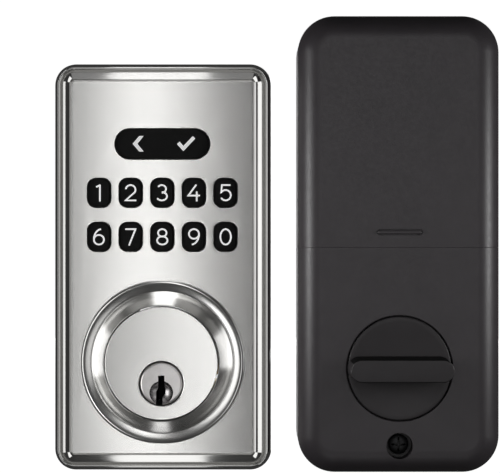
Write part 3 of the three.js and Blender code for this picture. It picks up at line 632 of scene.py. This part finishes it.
def ribbon(bm, points, width, x, z, face, closed=False):
    """Adds a stroke to a mesh as a thin raised band on a surface at depth `face`."""
    left, right = stroke(points, width, closed)
    low, high = face - 0.12, face + 0.05
    rows = []
    for (lx, lz), (rx, rz) in zip(left, right):
        rows.append([bm.verts.new((x + px, -depth, z + pz)) for px, pz, depth in
                     ((lx, lz, low), (lx, lz, high), (rx, rz, high), (rx, rz, low))])
    pairs = list(zip(rows, rows[1:])) + ([(rows[-1], rows[0])] if closed else [])
    for a, b in pairs:
        for i in range(4):
            j = (i + 1) % 4
            bm.faces.new((a[i], a[j], b[j], b[i]))
    if not closed:
        bm.faces.new(rows[0])
        bm.faces.new(rows[-1])


# Each digit is a list of strokes about the middle of its key. A stroke says whether it is a closed loop.
DIGITS = {
    0: [(arc(0, 0, 1.62, 2.17, 0, 352.5, 47), True)],
    1: [([(-0.85, 1.62), (0.3, 2.1)], False), ([(0.3, 2.3), (0.3, -2.45)], False)],
    2: [(arc(0, 0.82, 1.5, 1.35, 172, -30, 18) + [(-1.55, -2.17), (1.75, -2.17)], False)],
    3: [(arc(-0.15, 1.08, 1.3, 1.09, 150, -90, 16), False),
        (arc(-0.15, -1.0, 1.6, 1.17, 90, -152, 18), False)],
    4: [([(0.72, 2.3), (-1.72, -0.8), (1.85, -0.8)], False), ([(0.85, 0.35), (0.85, -2.45)], False)],
    5: [([(1.5, 2.17), (-1.15, 2.17), (-1.35, 0.15)] + arc(0.0, -0.7, 1.6, 1.47, 140, -150, 20), False)],
    6: [(arc(0, -0.82, 1.55, 1.35, 0, 350, 35), True), (arc(0.95, -0.7, 2.5, 2.9, 97, 180, 12), False)],
    7: [([(-1.65, 2.17), (1.5, 2.17), (-0.5, -2.45)], False)],
    8: [(arc(0, 1.12, 1.3, 1.05, 0, 350, 35), True), (arc(0, -1.02, 1.6, 1.15, 0, 350, 35), True)],
    9: [(arc(0, 0.82, 1.55, 1.35, 0, 350, 35), True), (arc(-0.95, 0.7, 2.5, 2.9, -83, 0, 12), False)],
}

KEY_FRONT = front("key_5")
KEY_REAR = 14.6
KEY_FLANGE = 18.2
ROCKER_FLANGE = 17.6
DIGIT_HEIGHT = 1.09  # scale of the digits' height
DIGIT_STROKE = 0.49
STROKE_STEP = 0.006  # where two strokes cross, the later one lies this much lower


def legend_shape(digit, x, z):
    """The strokes of one digit as raised bands on its key."""
    bm = bmesh.new()
    for order, (points, closed) in enumerate(DIGITS[digit]):
        line = [(px, pz * DIGIT_HEIGHT) for px, pz in points]
        ribbon(bm, line, DIGIT_STROKE, x, z, KEY_FRONT - STROKE_STEP * order, closed)
    return bm


for name in KEY_NAMES:
    x, z = centre(name)
    cap = key_shape(KEY, x, z, 10, KEY_REAR, KEY_FLANGE, KEY_FRONT)
    piece(f"{name}_cap", cap, "black_key", name, flat=True)
    piece(f"{name}_legend", legend_shape(int(name[-1]), x, z), "legend_white", body=name)

ROCKER_FRONT = front("command_rocker")
command_cap = key_shape(ROCKER, ROCKER_X, ROCKER_Z, 16, KEY_REAR, ROCKER_FLANGE, ROCKER_FRONT)
piece("command_cap", command_cap, "black_key", "command_rocker", flat=True)
BACK_MARK = [(1.7, 2.4), (0.35, 2.4), (-1.7, 0), (0.35, -2.4), (1.7, -2.4), (-0.25, 0)]
CHECK_MARK = [(-2.8, -0.1), (-2.0, 0.68), (-0.85, -0.68), (2.05, 2.35), (2.8, 1.6), (-0.85, -2.25)]


def flat_mark(points, x, z, face):
    """A thin raised plate with the given outline."""
    levels = (face - 0.12, face + 0.045)
    return loft([[(x + px, depth, z + pz) for px, pz in points] for depth in levels])


for name, points, offset in (("back_mark", BACK_MARK, -7.45), ("check_mark", CHECK_MARK, 7.35)):
    shape = flat_mark(points, ROCKER_X + offset, ROCKER_Z, ROCKER_FRONT)
    piece(name, shape, "legend_grey", body="command_rocker")

# ---------------------------------------------------------------- exterior unit: cylinder

RING_R = half_width("cylinder_ring")
CAP_R = half_width("cylinder_cap")
CAP_FRONT = front("cylinder_cap")
BASE = FACE + 0.3  # depth where the ring's flange starts, just clear of the plate
LIP = CAP_R + 0.28  # radius of the hole that the cap sits in
SPIGOT_R = 21.6  # the part of the ring that passes through the face plate
RING_REAR = 15
CONE_FOOT = (RING_R - 3.66, BASE + 1.4)
CONE_TOP = (LIP + 0.36, CAP_FRONT - 0.34)


def between(start, end, share):
    """A point part of the way along a line, pushed out by a trace so that the line bulges."""
    bulge = 0.25 * share * (1 - share)
    return tuple(a + (b - a) * share + bulge for a, b in zip(start, end))


RING_PROFILE = [
    (LIP, RING_REAR), (SPIGOT_R, RING_REAR), (SPIGOT_R, BASE), (RING_R - 0.25, BASE),
    (RING_R - 0.04, BASE + 0.25), (RING_R, BASE + 0.55), (RING_R - 0.06, BASE + 0.9),
    (RING_R - 0.2, BASE + 1.22), (RING_R - 0.42, BASE + 1.46), (RING_R - 0.7, BASE + 1.6),
    (RING_R - 1.0, BASE + 1.65), (RING_R - 1.35, BASE + 1.62), (RING_R - 1.9, BASE + 1.5),
    (RING_R - 2.6, BASE + 1.32), (RING_R - 3.2, BASE + 1.13), (RING_R - 3.42, BASE + 1.04),
    (RING_R - 3.54, BASE + 1.1), CONE_FOOT,
    between(CONE_FOOT, CONE_TOP, 0.3), between(CONE_FOOT, CONE_TOP, 0.65), CONE_TOP,
    (LIP + 0.25, CAP_FRONT - 0.16), (LIP + 0.12, CAP_FRONT - 0.14), (LIP, CAP_FRONT - 0.3),
]
ring = turned(RING_PROFILE, RING_X, RING_Z, 192)
piece("polished_ring", ring, "ring_nickel", "cylinder_ring", smooth=60)


def cap_outline(inset):
    return shifted(circle(CAP_R - inset, 144), RING_X, RING_Z)


def plug_opening(inset):
    return shifted(circle(6.86 - inset * 1.4), PLUG_X, PLUG_Z)


piece("brushed_cap", sheet(cap_outline, [plug_opening], CAP_FRONT - 2, CAP_FRONT, 0.22),
      "satin_nickel", "cylinder_cap", flat=True)

PLUG_FRONT = front("key_plug")
PLUG_REAR = -span("key_plug")[1][1]
PLUG_R = 6.6
PLUG_TAIL_R = 4.4
POCKET_R = 3.6
POCKET_BALL_R = 4.1
POCKET_DROP = 2.75  # how far the pocket's middle lies below the plug's
POCKET_DEPTH = 2.3


def plug_shape():
    """The plug, with its warded keyway and the round pocket that guides the key."""
    profile = [(0, PLUG_REAR), (PLUG_TAIL_R, PLUG_REAR), (PLUG_TAIL_R, PLUG_REAR + 2)]
    profile += [(PLUG_R, PLUG_REAR + 2), (PLUG_R, PLUG_FRONT - 0.7), (6.5, PLUG_FRONT - 0.45)]
    profile += [(6.25, PLUG_FRONT - 0.2), (6.0, PLUG_FRONT - 0.04), (5.85, PLUG_FRONT), (0, PLUG_FRONT)]
    body = turned(profile, PLUG_X, PLUG_Z, 96)
    section = [(-0.95, 2.5), (-0.95, -1.2), (-1.65, -2.6), (-1.65, -8), (0.35, -8), (0.35, -4.2),
               (1.25, -3.2), (1.25, -1.6), (0.95, -1), (0.95, 2.5)]
    slot = loft([[(PLUG_X + px, depth, PLUG_Z + pz) for px, pz in section]
                 for depth in (PLUG_FRONT - 24, PLUG_FRONT + 2)])
    middle = PLUG_FRONT + math.sqrt(POCKET_BALL_R ** 2 - POCKET_R ** 2)
    ball = [(0, middle - POCKET_BALL_R)]
    for i in range(1, 24):
        angle = math.pi * i / 24
        ball.append((POCKET_BALL_R * math.sin(angle), middle - POCKET_BALL_R * math.cos(angle)))
    ball.append((0, middle + POCKET_BALL_R))
    return cut(body, slot, turned(ball, PLUG_X, PLUG_Z - POCKET_DROP, 64))


def plug_look(middle, normal):
    """Which of the plug's looks a face has: its front, the keyway or the pocket. The keyway's near-black
    metal and the pocket's darker metal are painted shade in these recesses.
    """
    depth = -middle.y
    off_axis = math.hypot(middle.x - PLUG_X, middle.z - PLUG_Z)
    if depth > PLUG_FRONT - 0.03 or off_axis > PLUG_R - 0.8:
        return 0
    return 2 if normal.y < -0.3 and depth > PLUG_FRONT - POCKET_DEPTH else 1


plug = piece("plug_body", plug_shape(), "plug_face", "key_plug", flat=True)
paint(plug, ["keyway", "pocket_painted_shade"], plug_look)

# ---------------------------------------------------------------- interior unit: covers

INT_LOW = [min(a, b) for a, b in zip(span("lower_cover")[0], span("battery_cover")[0])]
INT_HIGH = [max(a, b) for a, b in zip(span("lower_cover")[1], span("battery_cover")[1])]
INT_X = (INT_LOW[0] + INT_HIGH[0]) / 2
INT_Z = (INT_LOW[2] + INT_HIGH[2]) / 2
INT = (INT_HIGH[0] - INT_LOW[0], INT_HIGH[2] - INT_LOW[2], 11.2)
INT_FACE = front("lower_cover")
INT_REAR = -INT_HIGH[1]
WALL = 1.7
EDGE = 7.2  # radius of the covers' front edges
SPLIT = span("battery_cover")[0][2] - 0.15  # height of the parting line
SEAM = 0.015  # half the gap at the parting line
TURN_X, TURN_Z = centre("thumbturn_spindle")
SCREW_X, SCREW_Z = centre("cover_screw")


def cover_shell():
    """The hollow shell of both covers, before the parting line is cut."""
    outside = [(0, INT_REAR)] + edge_round(EDGE, INT_FACE, 0, 18)
    inside = [(WALL, INT_REAR)] + edge_round(EDGE - WALL, INT_FACE - WALL, WALL, 10)
    return moulded(INT, list(reversed(inside)) + outside, INT_X, INT_Z, 18)


def on_outside(co):
    """Whether a point of the shell's section is on its outer skin."""
    x, depth = abs(co.x - INT_X), -co.y
    if x > INT[0] / 2 - WALL / 2 or depth > INT_FACE - WALL / 2:
        return True
    dx, dy = x - (INT[0] / 2 - EDGE), depth - (INT_FACE - EDGE)
    return dx > 0 and dy > 0 and math.hypot(dx, dy) > EDGE - WALL / 2


def trim(bm, level, side):
    """Cuts away what is above a level, or below it when `side` is -1, and closes and returns the cut."""
    parts = bm.verts[:] + bm.edges[:] + bm.faces[:]
    plane = {"plane_co": (0, 0, level), "plane_no": (0, 0, side)}
    bmesh.ops.bisect_plane(bm, geom=parts, clear_outer=True, **plane)
    rim = [e for e in bm.edges if e.is_boundary]
    bmesh.ops.holes_fill(bm, edges=rim, sides=0)
    return rim


def parted(bm, level, keep_low):
    """One side of the shell, closed along the parting line, with that line's outer edge softened."""
    side = 1 if keep_low else -1
    bmesh.ops.remove_doubles(bm, verts=bm.verts, dist=1e-4)
    rim = trim(bm, level, side)
    bmesh.ops.recalc_face_normals(bm, faces=bm.faces)
    edges = [e for e in rim if e.is_valid and all(on_outside(v.co) for v in e.verts)]
    bmesh.ops.bevel(bm, geom=edges, offset=0.08, segments=2, profile=0.5, affect="EDGES")
    return bm


def tongue():
    """The band inside the parting line, which keeps light out of it."""
    outer, inner = WALL + 0.1, WALL + 1.1
    outside = [(outer, 6)] + edge_round(EDGE - outer, INT_FACE - outer, outer, 10)
    inside = [(inner, 6)] + edge_round(EDGE - inner, INT_FACE - inner, inner, 10)
    bm = moulded(INT, list(reversed(inside)) + outside, INT_X, INT_Z, 12)
    bmesh.ops.remove_doubles(bm, verts=bm.verts, dist=1e-4)
    trim(bm, SPLIT + 2.4, 1)
    trim(bm, SPLIT - 3, -1)
    return bm


TURN_HOLE = 16.1
WELL_R = 4.05
WELL_FLOOR = 25.1  # depth of the seat under the cover screw's head
WELL_BOTTOM = 23.7
SCREW_HOLE = 1.8  # radius of the hole for the screw's shank


def lower_shape():
    """The lower cover, with the thumbturn's hole and the screw's well cut through its face."""
    hole = [(0, 20), (TURN_HOLE, 20), (TURN_HOLE, INT_FACE - 0.3), (TURN_HOLE + 0.1, INT_FACE - 0.08)]
    hole += [(TURN_HOLE + 0.3, INT_FACE), (TURN_HOLE + 1, INT_FACE + 0.3), (0, INT_FACE + 0.3)]
    drill = [(0, WELL_FLOOR), (WELL_R, WELL_FLOOR), (WELL_R, 40), (0, 40)]
    return cut(
        parted(cover_shell(), SPLIT - SEAM, True),
        turned(hole, TURN_X, TURN_Z, 160),
        turned(drill, SCREW_X, SCREW_Z, 64),
    )


def well_shape():
    """The tube behind the lower cover's face, with the seat of the screw's head at its bottom."""
    profile = [(WELL_R, INT_FACE - 1.8), (4.7, INT_FACE - 1.8), (5.2, INT_FACE - 2.4), (5.2, WELL_BOTTOM)]
    profile += [(SCREW_HOLE, WELL_BOTTOM), (SCREW_HOLE, WELL_FLOOR), (WELL_R, WELL_FLOOR)]
    return turned(profile, SCREW_X, SCREW_Z, 64)


piece("lower_shell", lower_shape(), "black_housing", "lower_cover", smooth=35, flat=True)
piece("parting_tongue", tongue(), "black_housing", body="lock_body")
piece("screw_well", well_shape(), "black_housing", body="lock_body")

GRIP_Z = SPLIT + 4.6
GRIP = (13.2, 1.0, 0.49)  # width, height and corner radius of the grip rib
MOAT = (14.1, 2.05, 1.0)  # the shallow recess round it
GRIP_FRONT = front("battery_cover")
grip_profile = [(0, INT_FACE - 0.9), (0, GRIP_FRONT - 0.3)] + edge_round(0.3, GRIP_FRONT, 0, 4)
grip = moulded(GRIP, grip_profile, INT_X, GRIP_Z, 8)
moat = moulded(MOAT, [(0.1, INT_FACE - 0.7), (0, INT_FACE + 1)], INT_X, GRIP_Z, 8)
door = cut(parted(cover_shell(), SPLIT + SEAM, False), moat)
piece("battery_door", door, "black_housing", "battery_cover", smooth=35, flat=True)
piece("battery_door_rib", grip, "black_housing", body="battery_cover")

# ---------------------------------------------------------------- interior unit: thumbturn and screw

TURN_FRONT = front("thumbturn")
TURN_R = 15.7
DISC = INT_FACE - 0.2
FLANGE = (16.9, 28.4, 29.3)  # radius and depths of the flange behind the cover, which closes the gap
BAR = (30.9, 6.8, 3.38)  # width, height and corner radius


def knob_shape():
    """The thumbturn: a slightly dished disc with a bar across it that narrows towards its front."""
    reach, flange_rear, flange_front = FLANGE
    disc = [(0, flange_rear), (reach, flange_rear), (reach, flange_front), (TURN_R, flange_front)]
    disc += [(TURN_R, DISC - 0.35), (TURN_R - 0.12, DISC - 0.12), (TURN_R - 0.4, DISC)]
    disc += [(TURN_R - 1.5, DISC - 0.1), (11, DISC - 0.45), (6, DISC - 0.7), (0, DISC - 0.8)]
    bar = [(-0.3, DISC - 1.6), (-0.3, DISC + 0.5), (-0.08, DISC + 8)]
    bar += edge_round(0.38, TURN_FRONT, 0.06, 5)
    return join(turned(disc, TURN_X, TURN_Z, 160), moulded(BAR, bar, TURN_X, TURN_Z, 16))


def knob_look(middle, normal):
    """The long sides of the bar get a darker, duller copy of the thumbturn's plastic: painted shade on the
    bar's top and bottom.
    """
    return 1 if abs(normal.z) > 0.6 and -middle.y > DISC + 0.3 else 0


knob = piece("thumbturn_knob", knob_shape(), "knob_black", "thumbturn", smooth=40)
paint(knob, ["knob_painted_shade"], knob_look)


def cross(size, arm, depth, face, x, z):
    """A cross recess that narrows towards its bottom."""
    shapes = []
    for wide, tall in ((size, arm), (arm, size)):
        right, top = wide / 2, tall / 2
        outline = [(right, top), (-right, top), (-right, -top), (right, -top)]
        rings = [(0.55, face - depth), (1, face), (1.2, face + 1)]
        shapes.append(loft([[(x + px * k, d, z + pz * k) for px, pz in outline] for k, d in rings]))
    return shapes


HEAD = front("cover_screw")
screw_profile = [(0, 10), (1.4, 10), (1.4, HEAD - 1.9), (3.05, HEAD - 1.9), (3.05, HEAD - 0.7),
                 (2.9, HEAD - 0.4), (2.4, HEAD - 0.15), (1.4, HEAD - 0.02), (0, HEAD)]
screw = cut(turned(screw_profile, SCREW_X, SCREW_Z, 64), *cross(4.6, 0.6, 1.0, HEAD, SCREW_X, SCREW_Z))
piece("cover_screw_head", screw, "dark_screw", "cover_screw")

# ---------------------------------------------------------------- interior unit: cells

CELLS = [f"battery_{number}" for number in range(1, 5)]
CELL_R = half_width("battery_1")
CELL_LENGTH = span("battery_1")[1][2] - span("battery_1")[0][2]
PIP = 1.3  # height of the raised positive end
PIP_R = 2.7
BAND = 12.5  # length of the coloured band at a cell's positive end


def cell_shape(node, pip_up):
    """An AA cell: a crimped jacket, its flat negative end and its raised positive pip."""
    top = CELL_LENGTH - PIP
    profile = [(0, 0.15), (5.4, 0.15), (5.6, 0), (CELL_R - 0.4, 0.1), (CELL_R - 0.1, 0.35)]
    profile += [(CELL_R, 0.8), (CELL_R, CELL_LENGTH - BAND), (CELL_R, top - 0.8)]
    profile += [(CELL_R - 0.15, top - 0.3), (CELL_R - 0.6, top)]
    profile += [(CELL_R - 1.2, top - 0.1), (CELL_R - 1.5, top - 0.3), (PIP_R, top - 0.3)]
    profile += [(PIP_R, CELL_LENGTH - 0.3), (PIP_R - 0.3, CELL_LENGTH), (0, CELL_LENGTH)]
    bm = turned(profile, 0, 0, 64)
    way = -1 if pip_up else 1
    bmesh.ops.rotate(bm, matrix=Matrix.Rotation(way * math.pi / 2, 3, "X"), verts=bm.verts)
    low, high = span(node)
    place = ((low[0] + high[0]) / 2, (low[1] + high[1]) / 2, low[2] if pip_up else high[2])
    bmesh.ops.translate(bm, vec=place, verts=bm.verts)
    return bm


def cell_look(node, pip_up):
    """A function that tells a cell's metal ends and its band from its jacket."""
    low, high = span(node)

    def look_of(middle, normal):
        from_pip = high[2] - middle.z if pip_up else middle.z - low[2]
        from_axis = math.hypot(middle.x - (low[0] + high[0]) / 2, middle.y - (low[1] + high[1]) / 2)
        if from_axis < CELL_R - 0.8:
            return 2
        return 1 if from_pip < BAND else 0

    return look_of


for order, node in enumerate(CELLS):
    pip_up = order % 2 == 0
    made = piece(f"{node}_cell", cell_shape(node, pip_up), "cell_jacket", node)
    paint(made, ["cell_band", "cell_end"], cell_look(node, pip_up))

# ---------------------------------------------------------------- pieces that keep their CAD shape

REBUILT = {"exterior_housing", "face_plate", "command_rocker", "cylinder_ring", "cylinder_cap", "key_plug",
           "lower_cover", "battery_cover", "thumbturn", "cover_screw", *KEY_NAMES, *CELLS}
for node in sorted(set(frame["nodes"]) - REBUILT):
    restyle(node)

# ---------------------------------------------------------------- stage, lights and camera


def backdrop():
    """A pale floor that curves up far behind the units. Its own glow keeps it near white."""
    look = Look("pale_floor", (0.86, 0.86, 0.86), 0.9, 0.0, Specular_IOR_Level=0.1)
    look.color_from(look.noise(9, 3.0), (0.84, 0.84, 0.84), (0.88, 0.88, 0.88))
    look.set("Emission Color", (1, 1, 1, 1))
    look.set("Emission Strength", 0.99)
    level = CAD_BOX[0].z / MM - 0.4
    section = [(-3000, level), (900, level)]
    section += [(900 + 600 * math.sin(a), level + 600 * (1 - math.cos(a)))
                for a in (math.pi / 2 * i / 16 for i in range(1, 17))]
    section += [(1500, 3000)]
    bm = bmesh.new()
    rows = [[bm.verts.new((x, y, z)) for x in (-3500, 3500)] for y, z in section]
    for lower, upper in zip(rows, rows[1:]):
        bm.faces.new((lower[0], lower[1], upper[1], upper[0]))
    made = bpy.data.objects.new("floor", finish_mesh(bm, "floor"))
    for polygon in made.data.polygons:
        polygon.use_smooth = True
    made.data.materials.append(look.material)
    bpy.context.scene.collection.objects.link(made)
    made.visible_glossy = False
    made.visible_diffuse = False
    made.visible_shadow = False
    made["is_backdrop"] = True


backdrop()

AMBIENT = 0.045
world = bpy.data.worlds.new("studio")
bpy.context.scene.world = world
world.use_nodes = True
background = world.node_tree.nodes["Background"]
background.inputs["Color"].default_value = (1, 1, 1, 1)
background.inputs["Strength"].default_value = AMBIENT

# Each unit, and each bright part of the exterior unit, has lights of its own.
LIT_ALONE = {"brushed_cap": "cap", "plug_body": "cap", "polished_ring": "ring", "housing_rim": "rim"}
# These show little of the studio to the camera, so lights all round them serve the other sides.
LIT_AROUND = {"brushed_face", "brushed_cap", "plug_body", "housing_wall"}
GROUP_NAMES = ("exterior", "interior", "plate", "cap", "ring", "rim", "around")
GROUPS = {name: bpy.data.collections.new(name) for name in GROUP_NAMES}
BETWEEN_UNITS = (EXT_HIGH[0] + INT_LOW[0]) / 2 * MM
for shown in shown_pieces():
    middle = sum(corner[0] for corner in shown.bound_box) / 8
    if middle > BETWEEN_UNITS:
        GROUPS["interior"].objects.link(shown)
    else:
        GROUPS["exterior"].objects.link(shown)
        GROUPS[LIT_ALONE.get(shown.name, "plate")].objects.link(shown)
    if shown.name in frame["nodes"] or shown.name in LIT_AROUND:
        GROUPS["around"].objects.link(shown)


def softbox(name, place, aim, width, height, power, lit=None, blocked_by="exterior"):
    """A rectangular light in millimetres, which the camera doesn't see.

    It may light one group only, and then only the group that blocks it shades it, or everything for None.
    """
    light = bpy.data.lights.new(name, "AREA")
    light.shape = "RECTANGLE"
    light.size, light.size_y = width * MM, height * MM
    light.energy = power
    made = bpy.data.objects.new(name, light)
    made.location = Vector(place) * MM
    made.rotation_euler = (Vector(aim) - Vector(place)).to_track_quat("-Z", "Y").to_euler()
    made.visible_camera = False
    if lit:
        made.light_linking.receiver_collection = GROUPS[lit]
        if blocked_by:
            made.light_linking.blocker_collection = GROUPS[blocked_by]
    bpy.context.scene.collection.objects.link(made)


def ranged_softbox(name, middle, azimuth, tilt, distance, width, height, power, lit, blocked_by):
    """A softbox at a distance from a middle.

    Its direction leans `tilt` away from straight in front, towards `azimuth`, which starts at the right.
    """
    turn, lean = math.radians(azimuth), math.radians(tilt)
    way = Vector((math.sin(lean) * math.cos(turn), -math.cos(lean), math.sin(lean) * math.sin(turn)))
    softbox(name, Vector(middle) + way * distance, middle, width, height, power, lit, blocked_by)


LIGHT_RANGE = 500  # distance of the ring's and the rim's lights from their middles
GLINT_RANGE = 400
AROUND_RANGE = 1100
AROUND_SIZE = (1500, 1500)

softbox("plate_strip", (-13.5, -215, 0), (-13.5, 0, 0), 24, 500, 0.105, "plate")
softbox("plate_middle", (-60, -500, 0), (-60, 0, 0), 40, 700, 0.03, "plate")
softbox("cap_strip", (13, -430, 0), (13, 0, 0), 40, 500, 0.21, "cap")
# The ring's cone faces so far outwards that it mirrors what is beyond the plate.
RING_MIDDLE = (RING_X, -FACE - 5, RING_Z)
CONE_TILT = 2 * math.degrees(math.atan2(CONE_TOP[1] - CONE_FOOT[1], CONE_FOOT[0] - CONE_TOP[0]))
for name, azimuth, tilt, width, height, power in [
    ("cone_top", 90, CONE_TILT, 160, 260, 0.21),
    ("cone_right", 9, CONE_TILT + 4, 190, 260, 0.23),
    ("cone_left", 174, CONE_TILT + 4, 190, 300, 0.25),
    ("cone_bottom", 267, CONE_TILT, 90, 200, 0.06),
    ("roll_left", 175, 34, 260, 560, 0.8),
    ("roll_low", 225, 36, 110, 200, 0.14),
    ("roll_top", 80, 34, 150, 260, 0.26),
    ("roll_right", 335, 34, 230, 330, 0.23),
    ("roll_crest", 90, 64, 200, 160, 0.12),
]:
    ranged_softbox(name, RING_MIDDLE, azimuth, tilt, LIGHT_RANGE, width, height, power, "ring", "cap")
PLUG_MIDDLE = (PLUG_X, -PLUG_FRONT, PLUG_Z)
ranged_softbox("pocket_glint", PLUG_MIDDLE, 180, 52, GLINT_RANGE, 220, 260, 0.5, "cap", "cap")
ranged_softbox("plug_glint", PLUG_MIDDLE, 48, 66, GLINT_RANGE, 220, 260, 0.12, "cap", "cap")
RIM_SHIFT = 19.6  # how far left of the rim's middle its lights are centred
RIM_MIDDLE = (EXT_X - RIM_SHIFT, -FACE, EXT_Z)
for name, azimuth, tilt, width, height, power in [
    ("rim_left", 180, 93, 180, 420, 0.28),
    ("rim_right", 0, 81, 175, 420, 0.32),
    ("rim_right_front", 0, 44, 260, 420, 0.38),
    ("rim_left_front", 180, 40, 200, 420, 0.16),
    ("rim_top", 90, 72, 60, 480, 0.11),
    ("rim_top_wide", 90, 72, 400, 480, 0.14),
    ("rim_bottom", 270, 72, 56, 480, 0.12),
    ("rim_corner_1", 45, 70, 150, 300, 0.2),
    ("rim_corner_2", 135, 70, 150, 300, 0.2),
    ("rim_corner_3", 225, 70, 150, 300, 0.2),
    ("rim_corner_4", 315, 70, 150, 300, 0.2),
    ("rim_front", 90, 12, 120, 500, 0.1),
]:
    ranged_softbox(name, RIM_MIDDLE, azimuth, tilt, LIGHT_RANGE, width, height, power, "rim", "rim")
COVER_MIDDLE = (INT_X, -33, INT_Z + 8)
softbox("in_left", (-94, -96, INT_Z + 8), (42, -33, INT_Z + 8), 40, 80, 0.17, "interior", "interior")
softbox("in_right", (239, -96, INT_Z + 8), (103, -33, INT_Z + 8), 40, 80, 0.16, "interior", "interior")
ranged_softbox("in_low_fill", COVER_MIDDLE, 265, 40, 700, 400, 300, 0.3, "interior", "interior")
ranged_softbox("in_front", COVER_MIDDLE, 90, 5, 900, 500, 500, 0.9, "interior", "interior")
softbox("behind", (35, 900, 0), (35, 0, 0), 300, 300, 0.8)
MIDDLE = (35, 0, 0)
for name, azimuth, tilt, power in [
    ("around_left", 175, 78, 3.4),
    ("around_right", 5, 78, 3.4),
    ("around_top", 90, 78, 3.4),
    ("around_rear_left", 165, 135, 3.8),
    ("around_rear_right", 15, 135, 3.8),
    ("around_rear_top", 90, 125, 3.8),
]:
    ranged_softbox(name, MIDDLE, azimuth, tilt, AROUND_RANGE, *AROUND_SIZE, power, "around", None)
softbox("around_floor_front", (35, -700, -300), (35, -700, 0), 2400, 900, 2.6, "around", None)
softbox("around_floor_rear", (35, 700, -300), (35, 700, 0), 2400, 900, 2.6, "around", None)

CAMERA_DISTANCE = 700
CAMERA_X, CAMERA_Z = 27.06, 9.5
VIEW_PLANE = -17
VIEW_WIDTH = 155  # width of the view at the exterior unit's face
SENSOR = 36

camera_data = bpy.data.cameras.new("camera")
camera = bpy.data.objects.new("camera", camera_data)
bpy.context.scene.collection.objects.link(camera)
bpy.context.scene.camera = camera
camera_data.sensor_width = SENSOR
camera_data.lens = SENSOR * CAMERA_DISTANCE / VIEW_WIDTH
camera.location = Vector((CAMERA_X, VIEW_PLANE - CAMERA_DISTANCE, CAMERA_Z)) * MM
camera.rotation_euler = (math.pi / 2, 0, 0)
camera_data.clip_start = 0.01
camera_data.clip_end = 20
bpy.context.scene.view_settings.view_transform = "Standard"
